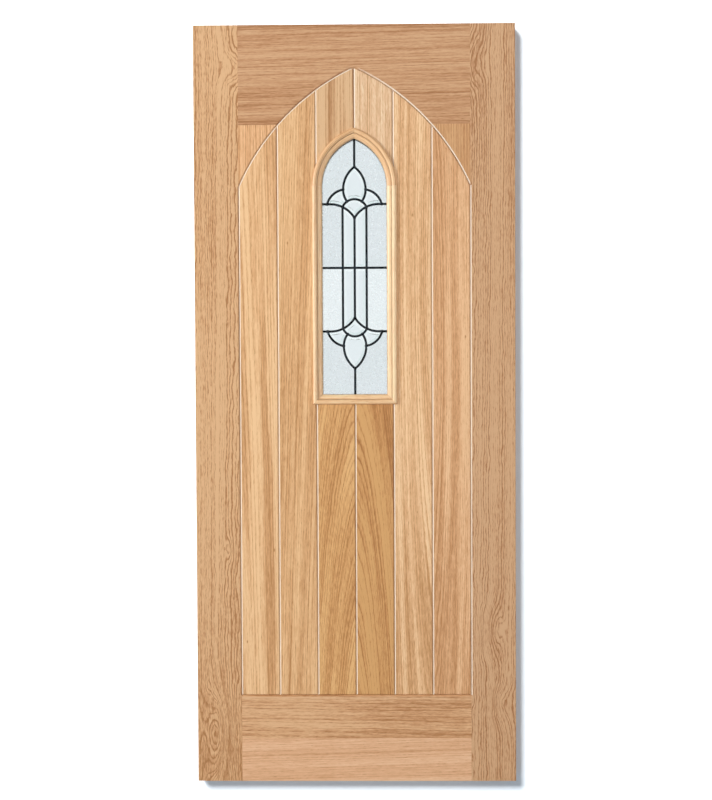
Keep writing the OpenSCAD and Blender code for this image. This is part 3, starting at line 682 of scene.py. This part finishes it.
INNER_TIMBER = {"body": (206, 172, 128), "pith": (0.08, 0.05), "ring": 0.006, "lines": 0.4, "streaks": 0.2}

# Seeds of the grain: the first piece's, and the step from piece to piece
FRAME_SEEDS = (3.7, 7.3)
BOARD_SEEDS = (11.9, 5.1)
INNER_SEEDS = (71.0, 3.3)
BACK_SEED = 53.0
BEAD_SEEDS = {"side": 20.0, "arch": 26.0, "sill": 32.0}


# Stage

# Lamps: place, width and height, the setting with its power, and whether it lights the paper or all the rest
LAMPS = {
    "Raking light": ((-6.0, -3.5, 2.6), (1.4, 1.4), "rake", False),
    "Front light": ((0.3, -7.5, 4.5), (3.0, 2.0), "front", False),
    "Right light": ((4.5, -4.5, 1.8), (2.0, 2.0), "right", False),
    "Back light": ((2.2, 3.6, 3.2), (1.6, 1.6), "back", False),
    "Wall light": ((-3.8, -8.6, 6.0), (3.4, 3.4), "wall", True),
}

# Papers: how far they reach, and the colour and glow of each
PAPER_REACH = 8.0
FLOOR_PAPER = ((0.36, 0.39, 0.42), (0.70, 0.72, 0.74))
WALL_PAPER = ((0.81, 0.87, 0.92), (0.038, 0.056, 0.075))

SENSOR_WIDTH = 36


class DOOR_OT_stage(bpy.types.Operator):
    """Sets the camera, the lights, the floor and the wall"""

    bl_idname = "door_leaf.stage"
    bl_label = "Stage"

    def execute(self, context):
        scene = context.scene
        setup = scene.door_stage
        scene.view_settings.view_transform = "Standard"
        self.set_camera(scene, setup)
        sheets = self.set_background(setup)
        for name, (place, size, power, lights_paper) in LAMPS.items():
            self.set_lamp(name, place, size, getattr(setup, power), sheets, lights_paper)
        self.set_world(scene, setup)
        return {"FINISHED"}

    def set_camera(self, scene, setup):
        data = bpy.data.cameras.new("Camera")
        data.lens = setup.lens
        data.sensor_width = SENSOR_WIDTH
        camera = new_object("Camera", data)
        sy, cy = math.sin(setup.yaw), math.cos(setup.yaw)
        sp, cp = math.sin(setup.pitch), math.cos(setup.pitch)
        sr, cr = math.sin(setup.roll), math.cos(setup.roll)
        ahead = Vector((sy * cp, cy * cp, -sp))
        right = Vector((cy, -sy, 0))
        up = right.cross(ahead)
        right, up = right * cr + up * sr, up * cr - right * sr
        turn = Matrix((right, up, -ahead)).transposed().to_4x4()
        camera.matrix_world = Matrix.Translation(setup.eye) @ turn
        scene.camera = camera

    def set_lamp(self, name, place, size, power, sheets, lights_paper):
        """A soft lamp aimed at the leaf's middle, for the paper behind the leaf or for all the rest."""
        data = bpy.data.lights.new(name, "AREA")
        data.shape = "RECTANGLE"
        data.size, data.size_y = size
        data.energy = power
        lamp = new_object(name, data)
        lamp.location = place
        aim = Vector((0, 0, (CAD_LOW.z + CAD_HIGH.z) / 2))
        lamp.rotation_euler = (aim - lamp.location).to_track_quat("-Z", "Y").to_euler()
        lit = bpy.data.collections.new("Lit by the " + name.lower())
        for sheet in sheets:
            lit.objects.link(sheet)
        for entry in lit.collection_objects:
            entry.light_linking.link_state = "INCLUDE" if lights_paper else "EXCLUDE"
        lamp.light_linking.receiver_collection = lit

    def set_world(self, scene, setup):
        world = bpy.data.worlds.new("Studio")
        world.use_nodes = True
        tree = world.node_tree
        tree.nodes.clear()
        strength = calc(tree, "MULTIPLY_ADD", seen_directly(tree), 1.0 - setup.fill, setup.fill)
        back = add(tree, "ShaderNodeBackground", {"Color": (1, 1, 1, 1), "Strength": strength})
        add(tree, "ShaderNodeOutputWorld", {"Surface": back.outputs[0]})
        scene.world = world

    def set_background(self, setup):
        far = PAPER_REACH
        low = -setup.floor_drop
        wall_y = HALF_T + setup.wall_gap
        corners = ((-far, -far), (far, -far), (far, far), (-far, far))
        floor = plate("Floor", [(x, y, low) for x, y in corners])
        wall = plate("Wall", [(x, wall_y, max(z, low)) for x, z in corners])
        floor.data.materials.append(self.paper("White floor", *FLOOR_PAPER, False))
        wall.data.materials.append(self.paper("White wall", *WALL_PAPER, True))
        return floor, wall

    def paper(self, name, colour, glow, one_sided):
        """White paper that keeps the leaf's shadow. The wall shows only from its front."""
        material, tree = new_material(name)
        matt = add(tree, "ShaderNodeBsdfDiffuse", {"Color": (*colour, 1)})
        shine = add(tree, "ShaderNodeEmission", {"Color": (*glow, 1), "Strength": 1.0})
        lit = add(tree, "ShaderNodeAddShader", {0: matt.outputs[0], 1: shine.outputs[0]})
        seen = seen_directly(tree)
        if one_sided:
            white = add(tree, "ShaderNodeEmission", {"Color": (1, 1, 1, 1), "Strength": 1.0})
            through = add(tree, "ShaderNodeLightPath").outputs["Is Transmission Ray"]
            face = mixed(tree, through, lit, white)
            behind = add(tree, "ShaderNodeNewGeometry").outputs["Backfacing"]
            shown = calc(tree, "MULTIPLY", seen, calc(tree, "SUBTRACT", 1.0, behind))
            sheet = mixed(tree, shown, add(tree, "ShaderNodeBsdfTransparent"), face)
        else:
            sheet = mixed(tree, seen, matt, lit)
        finish_material(tree, sheet)
        return material


def seen_directly(tree):
    """One where the camera looks, straight, through glass or in a gloss, and nought elsewhere."""
    path = add(tree, "ShaderNodeLightPath").outputs
    bent = calc(tree, "MAXIMUM", path["Is Glossy Ray"], path["Is Transmission Ray"])
    return calc(tree, "MAXIMUM", path["Is Camera Ray"], bent)


def mixed(tree, factor, a, b):
    """One shader where the factor is nought and another where it is one."""
    return add(tree, "ShaderNodeMixShader", {0: factor, 1: a.outputs[0], 2: b.outputs[0]})


def plate(name, corners):
    mesh = bpy.data.meshes.new(name)
    mesh.from_pydata(corners, [], [range(len(corners))])
    return new_object(name, mesh)


# Woodwork


class DOOR_OT_frame(bpy.types.Operator):
    """Finishes the stiles, the rails and the spandrels in oak"""

    bl_idname = "door_leaf.frame"
    bl_label = "Stiles, rails and spandrels"

    def execute(self, context):
        first, step = FRAME_SEEDS
        for k, (node, look) in enumerate(FRAME_OAK.items()):
            name = "Oak of the " + node.replace("_", " ")
            place = straight_place(node, level="rail" in node)
            dress(node, oak_material(name, place, look, first + step * k))
        return {"FINISHED"}


class DOOR_OT_boards(bpy.types.Operator):
    """Finishes the V-jointed boards of both faces in oak"""

    bl_idname = "door_leaf.boards"
    bl_label = "Boards"

    def execute(self, context):
        first, step = BOARD_SEEDS
        for k, (board, look) in enumerate(BOARD_OAK.items()):
            x, y = look["pith"]
            seed = first + step * k
            self.finish("front", board, look, seed)
            self.finish("back", board, {**look, "pith": (-x, -y)}, seed + BACK_SEED)
        return {"FINISHED"}

    def finish(self, face, board, look, seed):
        node = f"{face}_{board}"
        name = f"Oak of {face} {board.replace('_', ' ')}"
        dress(node, oak_material(name, straight_place(node, level=False), look, seed))


# Points on the bead's curves, and where along the straight beads its rings stand
OVOLO_STEPS = 14
ROUND_STEPS = 24
ARCH_STEPS = 40
SIDE_STOPS = (0.0, 0.06, 0.5, 1.0)
SILL_STOPS = (0.0, 0.1, 0.5, 0.9, 1.0)
BEAD_CREASE = math.radians(32)

# The light's edge at the glass: half its width, its sill, its springing, and how far past the middle each
# arc of its head is centred
SightLine = namedtuple("SightLine", "half sill spring centre")


def sight_line(bead):
    half = BEAD_OUT - bead.width
    return SightLine(half, SILL_LOW + bead.width, SPRING_Z + bead.gap / 2, bead.head_radius - half)


class DOOR_OT_beads(bpy.types.Operator):
    """Makes the moulded beads around the light, on both faces"""

    bl_idname = "door_leaf.beads"
    bl_label = "Beads"

    def execute(self, context):
        bead = context.scene.door_bead
        self.section = self.bead_section(bead)
        for face, side in (("front", 1), ("back", -1)):
            for hand, way in (("left", -1), ("right", 1)):
                self.make(f"{face}_bead_{hand}_side", bead, self.side_rings(bead, way), side, way)
                self.make(f"{face}_bead_{hand}_arch", bead, self.arch_rings(bead, way), side, way)
            self.make(f"{face}_bead_sill", bead, self.sill_rings(bead), side, 0)
        return {"FINISHED"}

    def bead_section(self, bead):
        """Points of the section: distance from the sight line, and height over the leaf's face."""
        base = bead.nose - bead.depth
        points = [(0.0, -bead.depth), (0.0, base)]
        for k in range(1, OVOLO_STEPS + 1):
            a = math.pi / 2 * k / OVOLO_STEPS
            points.append((bead.ovolo * (1 - math.cos(a)), base + (bead.ovolo_top - base) * math.sin(a)))
        points.append((bead.ovolo, -bead.quirk_floor))
        points.append((bead.ovolo + bead.quirk, -bead.quirk_floor))
        centre = bead.width - bead.round_r
        for k in range(ROUND_STEPS + 1):
            a = math.pi * (1 - k / ROUND_STEPS)
            points.append((centre + bead.round_r * math.cos(a), bead.round_lift + bead.round_r * math.sin(a)))
        points += [(bead.width, 0.0), (bead.rebate, 0.0), (bead.rebate, -bead.depth)]
        return points

    def side_rings(self, bead, way):
        """Rings of (x, z, distance along) from the sill's mitre to the springing."""
        sight = sight_line(bead)
        gap = bead.gap / 2
        rings = []
        for t in SIDE_STOPS:
            ring = []
            for u, _ in self.section:
                low = sight.sill - u + gap
                z = low + (sight.spring - gap - low) * t
                ring.append((way * (sight.half + u), z, z))
            rings.append(ring)
        return rings

    def sill_rings(self, bead):
        """Rings of (x, z, distance along) from mitre to mitre."""
        sight = sight_line(bead)
        gap = bead.gap / 2
        rings = []
        for t in SILL_STOPS:
            ring = []
            for u, _ in self.section:
                x = (sight.half + u - gap) * (2 * t - 1)
                ring.append((x, sight.sill - u, x))
            rings.append(ring)
        return rings

    def arch_rings(self, bead, way):
        """Rings of (x, z, distance along) from the springing to the point."""
        sight = sight_line(bead)
        gap = bead.gap / 2
        grain_radius = bead.head_radius + bead.width / 2
        rings = []
        for k in range(ARCH_STEPS + 1):
            ring = []
            for u, _ in self.section:
                r = bead.head_radius + u
                start = math.asin(gap / r)
                end = math.acos((sight.centre + gap) / r)
                a = start + (end - start) * k / ARCH_STEPS
                x = r * math.cos(a) - sight.centre
                ring.append((way * x, sight.spring + r * math.sin(a), a * grain_radius))
            rings.append(ring)
        return rings

    def make(self, node, bead, rings, side, way):
        """Skins the rings as one moulded piece, which stands for a packed node."""
        bm = bmesh.new()
        layer = bm.verts.layers.float_vector.new("grain")
        made = []
        for ring in rings:
            row = []
            for (x, z, along), (u, v) in zip(ring, self.section):
                vert = bm.verts.new((x, -side * (HALF_T + v), z))
                vert[layer] = (u, v, along)
                row.append(vert)
            made.append(row)
        count = len(self.section)
        for a, b in zip(made, made[1:]):
            for k in range(count):
                j = (k + 1) % count
                bm.faces.new((a[k], a[j], b[j], b[k]))
        bm.faces.new(made[0])
        bm.faces.new(made[-1])
        bmesh.ops.recalc_face_normals(bm, faces=bm.faces)
        mesh = bpy.data.meshes.new(node + "_moulded")
        bm.to_mesh(mesh)
        bm.free()
        smoothed(mesh, BEAD_CREASE)
        piece = new_object(node + "_moulded", mesh)
        kind = node.split("_")[-1]
        look = {**BEAD_OAK, "body": BEAD_TONES[kind]}
        name = "Oak of " + node.replace("_", " ")
        seed = BEAD_SEEDS[kind] + way + side * 3
        # Where the painted shade in the quirk lies across the bead
        quirk = bead.ovolo + bead.quirk / 2
        mesh.materials.append(oak_material(name, path_place, look, seed, joints=False, quirk=quirk))
        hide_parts(node)
        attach(piece, "root")


# Leaded light

# Shares of the border came's reach past the sight line that the middle came goes into it, at point and sill
POINT_LAP = 0.8
SILL_LAP = 0.7

# How much deeper the lattice is over its solder
SOLDER_PROUD = 0.0003

# Points on the border's arcs, round a flange and round a dome of solder
BORDER_STEPS = 24
FLANGE_POINTS = 16
DOME_POINTS = (16, 8)

LEAD_CREASE = math.radians(50)
MERGE = 1e-6
SIZE = "NodeSocketFloat"


class DOOR_OT_cames(bpy.types.Operator):
    """Sweeps the lead cames along the pattern and solders their joints"""

    bl_idname = "door_leaf.cames"
    bl_label = "Lead cames"

    def execute(self, context):
        lead = context.scene.door_lead
        cames, border, joints = lead_pattern(lead, context.scene.door_bead)
        material = lead_material(lead)
        meshes = [
            swept("came_paths", cames, lead.face, lead, material),
            swept("border_path", [border], lead.border_face, lead, material, closed=True),
            soldered("solder_points", joints, lead, material),
        ]
        piece = merged("leaded_cames", meshes, material)
        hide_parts("came_lattice")
        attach(piece, "root")
        return {"FINISHED"}


def arc(centre, start, end, steps):
    """Points on the shorter arc between two points around a centre."""
    r = math.dist(centre, start)
    a0 = math.atan2(start[1] - centre[1], start[0] - centre[0])
    a1 = math.atan2(end[1] - centre[1], end[0] - centre[0])
    turn = (a1 - a0 + math.pi) % (2 * math.pi) - math.pi
    angles = [a0 + turn * k / steps for k in range(steps + 1)]
    return [(centre[0] + r * math.cos(a), centre[1] + r * math.sin(a)) for a in angles]


def half_end(lead, half, edge):
    """Half of one end of the pattern, up from its cross came: cames, joints and the shield's corner."""
    fit = 2 * half / lead.pattern_w
    upright, tear_half, tear_foot = fit * lead.upright, fit * lead.tear_half, fit * lead.tear_foot
    fan_foot = half - fit * lead.fan_margin
    ogee_x = fan_foot - fit * lead.fan_heel
    ogee_r = (ogee_x**2 + lead.ogee_drop**2) / (2 * lead.ogee_drop)
    ogee_point = (0.0, -lead.ogee_drop)
    corner = (upright, math.sqrt(ogee_r**2 - (ogee_x - upright) ** 2) - ogee_r)
    sag = lead.shield_rise - corner[1]
    shield_r = (upright**2 + sag**2) / (2 * sag)
    shield_c = (0.0, lead.shield_rise - shield_r)
    foot = (tear_foot, shield_c[1] + math.sqrt(shield_r**2 - tear_foot**2))
    belly = (tear_half, lead.tear_belly)
    tip = (0.0, lead.tear_h)
    rise = lead.tear_h - lead.tear_belly
    top_r = (tear_half**2 + rise**2) / (2 * tear_half)
    inset = tear_half - tear_foot
    drop = lead.tear_belly - foot[1]
    low_r = (inset**2 + drop**2) / (2 * inset)
    chord = Vector((tear_half - fan_foot, lead.tear_belly))
    reach = math.sqrt((fit * lead.fan_r) ** 2 - chord.length_squared / 4)
    across = Vector((-chord.y, chord.x)).normalized() * reach
    fan_c = (fan_foot + chord.x / 2 + across.x, chord.y / 2 + across.y)
    cames = [
        arc((tear_half - top_r, lead.tear_belly), belly, tip, 14),
        arc((tear_half - low_r, lead.tear_belly), foot, belly, 10),
        arc(fan_c, (fan_foot, 0.0), belly, 14),
        arc(shield_c, corner, (0.0, lead.shield_rise), 10),
        arc((ogee_x, -ogee_r), (ogee_x, 0.0), ogee_point, 16),
        [(ogee_x, 0.0), (edge, 0.0)],
    ]
    return cames, [tip, foot, belly, (fan_foot, 0.0), corner, ogee_point], corner


def lead_pattern(lead, bead):
    """Centre lines of the cames, of the border came, and the places of the joints, as (x, z)."""
    sight = sight_line(bead)
    out = lead.border_out - lead.border_face / 2
    edge = sight.half + out
    point_z = sight.spring + math.sqrt(bead.head_radius**2 - sight.centre**2)
    head_z = point_z - lead.tip_head - lead.tear_h
    foot_z = sight.sill + lead.tip_sill + lead.tear_h
    middle_z = (head_z + foot_z) / 2
    half_cames, half_joints, (upright, corner_z) = half_end(lead, sight.half, edge)
    cames = []
    joints = {(0.0, middle_z)}
    for cross_z, way in ((head_z, 1), (foot_z, -1)):
        for side in (-1, 1):
            cames += [[(side * x, cross_z + way * y) for x, y in path] for path in half_cames]
            joints |= {(side * x if x else 0.0, cross_z + way * y) for x, y in half_joints}
    for x in (-upright, upright):
        cames.append([(x, foot_z - corner_z), (x, head_z + corner_z)])
        joints.add((x, middle_z))
    cames.append([(0.0, foot_z + lead.ogee_drop), (0.0, head_z - lead.ogee_drop)])
    cames.append([(-edge, middle_z), (edge, middle_z)])
    cames.append([(0.0, head_z + lead.tear_h), (0.0, point_z + lead.border_out * POINT_LAP)])
    cames.append([(0.0, foot_z - lead.tear_h), (0.0, sight.sill - lead.border_out * SILL_LAP)])
    r = bead.head_radius + out
    top = math.acos(sight.centre / r)
    right = [(edge, sight.sill - out)]
    for k in range(BORDER_STEPS + 1):
        a = top * k / BORDER_STEPS
        right.append((r * math.cos(a) - sight.centre, sight.spring + r * math.sin(a)))
    border = right + [(-x, z) for x, z in reversed(right[:-1])]
    return cames, border, sorted(joints)


def geometry_group(name, sizes):
    """A Geometry Nodes group with a geometry in and out, named sizes, and the lead it is made of."""
    tree = bpy.data.node_groups.new(name, "GeometryNodeTree")
    tree.interface.new_socket("Geometry", in_out="INPUT", socket_type="NodeSocketGeometry")
    for label in sizes:
        tree.interface.new_socket(label, in_out="INPUT", socket_type=SIZE)
    tree.interface.new_socket("Lead", in_out="INPUT", socket_type="NodeSocketMaterial")
    tree.interface.new_socket("Geometry", in_out="OUTPUT", socket_type="NodeSocketGeometry")
    return tree, tree.nodes.new("NodeGroupInput").outputs, tree.nodes.new("NodeGroupOutput").inputs


def leaded(tree, shape, given, result):
    """Ends a tree: its shape made real and given its lead."""
    real = add(tree, "GeometryNodeRealizeInstances", {"Geometry": shape}).outputs[0]
    made = add(tree, "GeometryNodeSetMaterial", {"Geometry": real, "Material": given["Lead"]}).outputs[0]
    tree.links.new(made, result["Geometry"])


def came_tree():
    """Sweeps a came's section, two rounded flanges and a heart, along flat curves and stands them up."""
    name = "Came sweep"
    if name in bpy.data.node_groups:
        return bpy.data.node_groups[name]
    tree, given, result = geometry_group(name, ("Face", "Depth", "Flange", "Heart"))
    path = add(tree, "GeometryNodeSetCurveNormal", {"Curve": given["Geometry"]}, mode="Z_UP").outputs[0]
    half_face = calc(tree, "MULTIPLY", given["Face"], 0.5)
    seat = calc(tree, "SUBTRACT", calc(tree, "MULTIPLY", given["Depth"], 0.5), given["Flange"])
    circle = {"Resolution": FLANGE_POINTS, "Radius": 1.0}
    sections = []
    for way in (-1.0, 1.0):
        ring = add(tree, "GeometryNodeCurvePrimitiveCircle", circle).outputs["Curve"]
        at = split(tree, add(tree, "GeometryNodeInputPosition").outputs[0])
        bulge = calc(tree, "MULTIPLY", calc(tree, "MAXIMUM", at["Y"], 0.0), given["Flange"])
        x = calc(tree, "MULTIPLY", at["X"], half_face)
        y = calc(tree, "MULTIPLY", calc(tree, "ADD", bulge, seat), way)
        inputs = {"Geometry": ring, "Position": join(tree, x, y, 0.0)}
        sections.append(add(tree, "GeometryNodeSetPosition", inputs).outputs[0])
    heart = {"Width": given["Heart"], "Height": calc(tree, "MULTIPLY", seat, 2.0)}
    sections.append(add(tree, "GeometryNodeCurvePrimitiveQuadrilateral", heart).outputs[0])
    whole = tree.nodes.new("GeometryNodeJoinGeometry")
    for section in sections:
        inputs = {"Curve": path, "Profile Curve": section, "Fill Caps": True}
        tree.links.new(add(tree, "GeometryNodeCurveToMesh", inputs).outputs[0], whole.inputs[0])
    inputs = {"Geometry": whole.outputs[0], "Rotation": (math.pi / 2, 0, 0)}
    leaded(tree, add(tree, "GeometryNodeTransform", inputs).outputs[0], given, result)
    return tree


def solder_tree():
    """A low dome of solder on both faces of each joint."""
    name = "Solder domes"
    if name in bpy.data.node_groups:
        return bpy.data.node_groups[name]
    tree, given, result = geometry_group(name, ("Radius", "Rise", "Depth"))
    segments, rings = DOME_POINTS
    sphere = {"Segments": segments, "Rings": rings, "Radius": 1.0}
    ball = add(tree, "GeometryNodeMeshUVSphere", sphere).outputs["Mesh"]
    scale = join(tree, given["Radius"], given["Rise"], given["Radius"])
    seat = calc(tree, "SUBTRACT", calc(tree, "MULTIPLY", given["Depth"], 0.5), given["Rise"])
    both = tree.nodes.new("GeometryNodeJoinGeometry")
    for way in (-1.0, 1.0):
        shift = join(tree, 0.0, calc(tree, "MULTIPLY", seat, way), 0.0)
        moved = {"Geometry": given["Geometry"], "Offset": shift}
        points = add(tree, "GeometryNodeSetPosition", moved).outputs[0]
        domes = {"Points": points, "Instance": ball, "Scale": scale}
        tree.links.new(add(tree, "GeometryNodeInstanceOnPoints", domes).outputs[0], both.inputs[0])
    leaded(tree, both.outputs[0], given, result)
    return tree


def grown(source, tree, values):
    """Runs a tree on an object and returns the result as a plain mesh."""
    modifier = source.modifiers.new("Build", "NODES")
    modifier.node_group = tree
    for item in tree.interface.items_tree:
        if item.item_type == "SOCKET" and item.in_out == "INPUT" and item.name in values:
            modifier[item.identifier] = values[item.name]
    bpy.context.view_layer.update()
    shown = source.evaluated_get(bpy.context.evaluated_depsgraph_get())
    mesh = bpy.data.meshes.new_from_object(shown)
    bpy.data.objects.remove(source)
    if not mesh.polygons:
        raise RuntimeError("nothing came out of " + tree.name)
    return mesh


def swept(name, paths, face, lead, material, closed=False):
    """Cames of one face width along some paths."""
    data = bpy.data.curves.new(name, "CURVE")
    data.dimensions = "3D"
    for path in paths:
        spline = data.splines.new("POLY")
        spline.points.add(len(path) - 1)
        for point, (x, z) in zip(spline.points, path):
            point.co = (x, z, 0, 1)
        spline.use_cyclic_u = closed
    sizes = {"Face": face, "Depth": lead.depth, "Flange": lead.flange, "Heart": lead.heart, "Lead": material}
    return grown(new_object(name, data), came_tree(), sizes)


def soldered(name, joints, lead, material):
    """Solder at each joint."""
    mesh = bpy.data.meshes.new(name)
    mesh.from_pydata([(x, 0, z) for x, z in joints], [], [])
    depth = lead.depth + SOLDER_PROUD
    sizes = {"Radius": lead.solder, "Rise": lead.flange, "Depth": depth, "Lead": material}
    return grown(new_object(name, mesh), solder_tree(), sizes)


def merged(name, meshes, material):
    """One piece of one material from several meshes."""
    bm = bmesh.new()
    for mesh in meshes:
        bm.from_mesh(mesh)
    bmesh.ops.remove_doubles(bm, verts=bm.verts, dist=MERGE)
    bmesh.ops.recalc_face_normals(bm, faces=bm.faces)
    whole = bpy.data.meshes.new(name)
    bm.to_mesh(whole)
    bm.free()
    whole.materials.append(material)
    for polygon in whole.polygons:
        polygon.material_index = 0
    smoothed(whole, LEAD_CREASE)
    for mesh in meshes:
        bpy.data.meshes.remove(mesh)
    return new_object(name, whole)


def lead_material(lead):
    """Lead that has been darkened and rubbed back a little."""
    material, tree = new_material("Darkened lead")
    cloud = noise(tree, cells(tree, 130.0), 3.0, 0.6)
    fine = noise(tree, cells(tree, 900.0), 2.0, 0.6)
    dark = tuple(c * 0.7 for c in lead.colour)
    pale = tuple(min(1.0, c * 1.5) for c in lead.colour)
    principled(
        tree,
        {
            "Base Color": blend_colours(tree, ramp(tree, cloud, 0.3, 0.7), dark, pale),
            "Roughness": calc(tree, "MULTIPLY_ADD", fine, 0.3, 0.4),
            "Normal": bumped(tree, fine, 0.4, 0.0002),
            "Specular IOR Level": 0.1,
        },
    )
    return material


class DOOR_OT_glass(bpy.types.Operator):
    """Glazes the light: clear panes, textured fields and bevelled pieces"""

    bl_idname = "door_leaf.glass"
    bl_label = "Glass"

    def execute(self, context):
        look = context.scene.door_glass
        textured = self.field("Textured glass", look, look.field)
        dress("head_field_glass", textured)
        dress("sill_field_glass", textured)
        dress("middle_field_glass", self.field("Textured glass of the middle", look, look.middle))
        bevelled = self.bevel(look)
        for node in ("teardrop_bevels", "fan_bevels", "shield_bevels", "strip_bevels"):
            dress(node, bevelled)
        clear = self.pane()
        dress("front_pane", clear)
        dress("rear_pane", clear)
        return {"FINISHED"}

    def glass(self, tree, colour, roughness, normal):
        principled(
            tree,
            {
                "Base Color": colour,
                "Roughness": roughness,
                "IOR": 1.5,
                "Specular Tint": (0.2, 0.2, 0.2, 1),
                "Transmission Weight": 1.0,
                "Normal": normal,
            },
        )

    def field(self, name, look, below):
        """Glass with a fine pebbled face, with a tint of its own below the light's middle bar."""
        material, tree = new_material(name)
        pebbles = add(
            tree,
            "ShaderNodeTexVoronoi",
            {"Vector": cells(tree, 1 / look.pebble), "Scale": 1.0, "Smoothness": 0.6},
            feature="SMOOTH_F1",
        ).outputs["Distance"]
        drift = noise(tree, cells(tree, 0.4 / look.pebble), 2.0, 0.6)
        height = calc(tree, "MULTIPLY_ADD", drift, 0.6, pebbles)
        up = split(tree, object_spot(tree))["Z"]
        tint = blend_colours(tree, ramp(tree, up, BAR_Z + 0.001, BAR_Z - 0.001), look.field, below)
        # The low places of the pebbled face are 7% darker
        hollow_tint = blend_colours(tree, 0.07, tint, (0, 0, 0))
        colour = blend_colours(tree, ramp(tree, height, 0.35, 0.95), hollow_tint, tint)
        rough = calc(tree, "MULTIPLY_ADD", drift, 0.12, 0.2)
        self.glass(tree, colour, rough, bumped(tree, height, 0.25, 0.0006))
        return material

    def bevel(self, look):
        """Polished glass with painted light on its bevels: a painted highlight where they face up and left,
        and a green-grey painted shade where they face down and right.
        """
        material, tree = new_material("Bevelled glass")
        faced = facing(tree)
        ream = noise(tree, cells(tree, 45.0), 2.0)
        # Bevels that face up and left get a painted highlight, and those that face down and right get a
        # green-grey painted shade
        facing_light = calc(tree, "MULTIPLY_ADD", faced["X"], -0.6, faced["Z"])
        shade = ramp(tree, calc(tree, "MULTIPLY_ADD", ream, 0.06, facing_light), 0.03, -0.2)
        bevelled = ramp(tree, calc(tree, "ABSOLUTE", faced["Y"]), 0.998, 0.985)
        edge = blend_colours(tree, shade, look.bevel, look.bevel_painted_shade)
        colour = blend_colours(tree, bevelled, look.clear, edge)
        rough = calc(tree, "MULTIPLY_ADD", ream, 0.04, 0.02)
        self.glass(tree, colour, rough, bumped(tree, ream, 0.1, 0.0005))
        return material

    def pane(self):
        """Float glass with the faintest waviness."""
        material, tree = new_material("Clear pane")
        ream = noise(tree, cells(tree, 12.0), 2.0)
        colour = blend_colours(tree, ream, tone(247, 252, 251), tone(251, 254, 254))
        rough = calc(tree, "MULTIPLY", ream, 0.03)
        self.glass(tree, colour, rough, bumped(tree, ream, 0.05, 0.0005))
        return material


# Inner pieces

INNER_WOOD = ("left_muntin", "right_muntin", "light_head_block", "light_sill_block", "frame_dowels")
LEVEL_WOOD = ("light_sill_block", "frame_dowels")

# Plain finishes: pale and dark tone, grains to a metre, roughness, metal, and the nodes that have them
PLAIN_FINISHES = {
    "Insulation board": (
        (214, 210, 198), (190, 186, 172), 260.0, 0.85, 0.0, ("left_core", "right_core", "lower_core"),
    ),
    "Spacer bar": ((196, 199, 202), (150, 154, 158), 420.0, 0.35, 0.9, ("front_spacer", "rear_spacer")),
    "Glazing tape": (
        (70, 70, 70), (48, 48, 50), 600.0, 0.8, 0.0,
        ("front_glazing_tape", "rear_glazing_tape", "setting_blocks"),
    ),
    "Pin steel": ((160, 164, 168), (110, 112, 116), 900.0, 0.35, 0.9, ("bead_pins",)),
}


class DOOR_OT_inner(bpy.types.Operator):
    """Finishes what the leaf holds inside: core, dowels, pins, spacers, tape and blocks"""

    bl_idname = "door_leaf.inner"
    bl_label = "Inner pieces"

    def execute(self, context):
        first, step = INNER_SEEDS
        for k, node in enumerate(INNER_WOOD):
            name = "Timber of the " + node.replace("_", " ")
            place = straight_place(node, level=node in LEVEL_WOOD)
            dress(node, oak_material(name, place, INNER_TIMBER, first + step * k, joints=False))
        for name, (pale, dark, count, roughness, metal, nodes) in PLAIN_FINISHES.items():
            finish = self.grained(name, tone(*pale), tone(*dark), count, roughness, metal)
            for node in nodes:
                dress(node, finish)
        return {"FINISHED"}

    def grained(self, name, pale, dark, count, roughness, metal):
        """A plain finish with a fine grain of its own."""
        material, tree = new_material(name)
        grain = noise(tree, cells(tree, count), 3.0, 0.6)
        principled(
            tree,
            {
                "Base Color": blend_colours(tree, ramp(tree, grain, 0.3, 0.7), dark, pale),
                "Roughness": calc(tree, "MULTIPLY_ADD", grain, 0.15, roughness - 0.07),
                "Metallic": metal,
                "Normal": bumped(tree, grain, 0.3, 0.0003),
            },
        )
        return material


class DOOR_PT_panel(bpy.types.Panel):
    """Lists the steps that dress the leaf, with their settings"""

    bl_label = "Boarded door leaf"
    bl_idname = "DOOR_PT_panel"
    bl_space_type = "VIEW_3D"
    bl_region_type = "UI"
    bl_category = "Door"

    def draw(self, context):
        for step in STEPS:
            self.layout.operator(step.bl_idname)
        for key, group in GROUPS.items():
            box = self.layout.box()
            box.label(text=group.__doc__)
            settings = getattr(context.scene, key)
            for name in group.__annotations__:
                box.prop(settings, name)


STEPS = (
    DOOR_OT_stage,
    DOOR_OT_frame,
    DOOR_OT_boards,
    DOOR_OT_beads,
    DOOR_OT_cames,
    DOOR_OT_glass,
    DOOR_OT_inner,
)


def register():
    for group in GROUPS.values():
        bpy.utils.register_class(group)
    for key, group in GROUPS.items():
        setattr(bpy.types.Scene, key, bpy.props.PointerProperty(type=group))
    for step in STEPS:
        bpy.utils.register_class(step)
    bpy.utils.register_class(DOOR_PT_panel)


def unregister():
    bpy.utils.unregister_class(DOOR_PT_panel)
    for step in reversed(STEPS):
        bpy.utils.unregister_class(step)
    for key in GROUPS:
        delattr(bpy.types.Scene, key)
    for group in reversed(GROUPS.values()):
        bpy.utils.unregister_class(group)


def main():
    register()
    bpy.ops.door_leaf.stage()
    bpy.ops.door_leaf.frame()
    bpy.ops.door_leaf.boards()
    bpy.ops.door_leaf.beads()
    bpy.ops.door_leaf.cames()
    bpy.ops.door_leaf.glass()
    bpy.ops.door_leaf.inner()


if __name__ == "__main__":
    main()
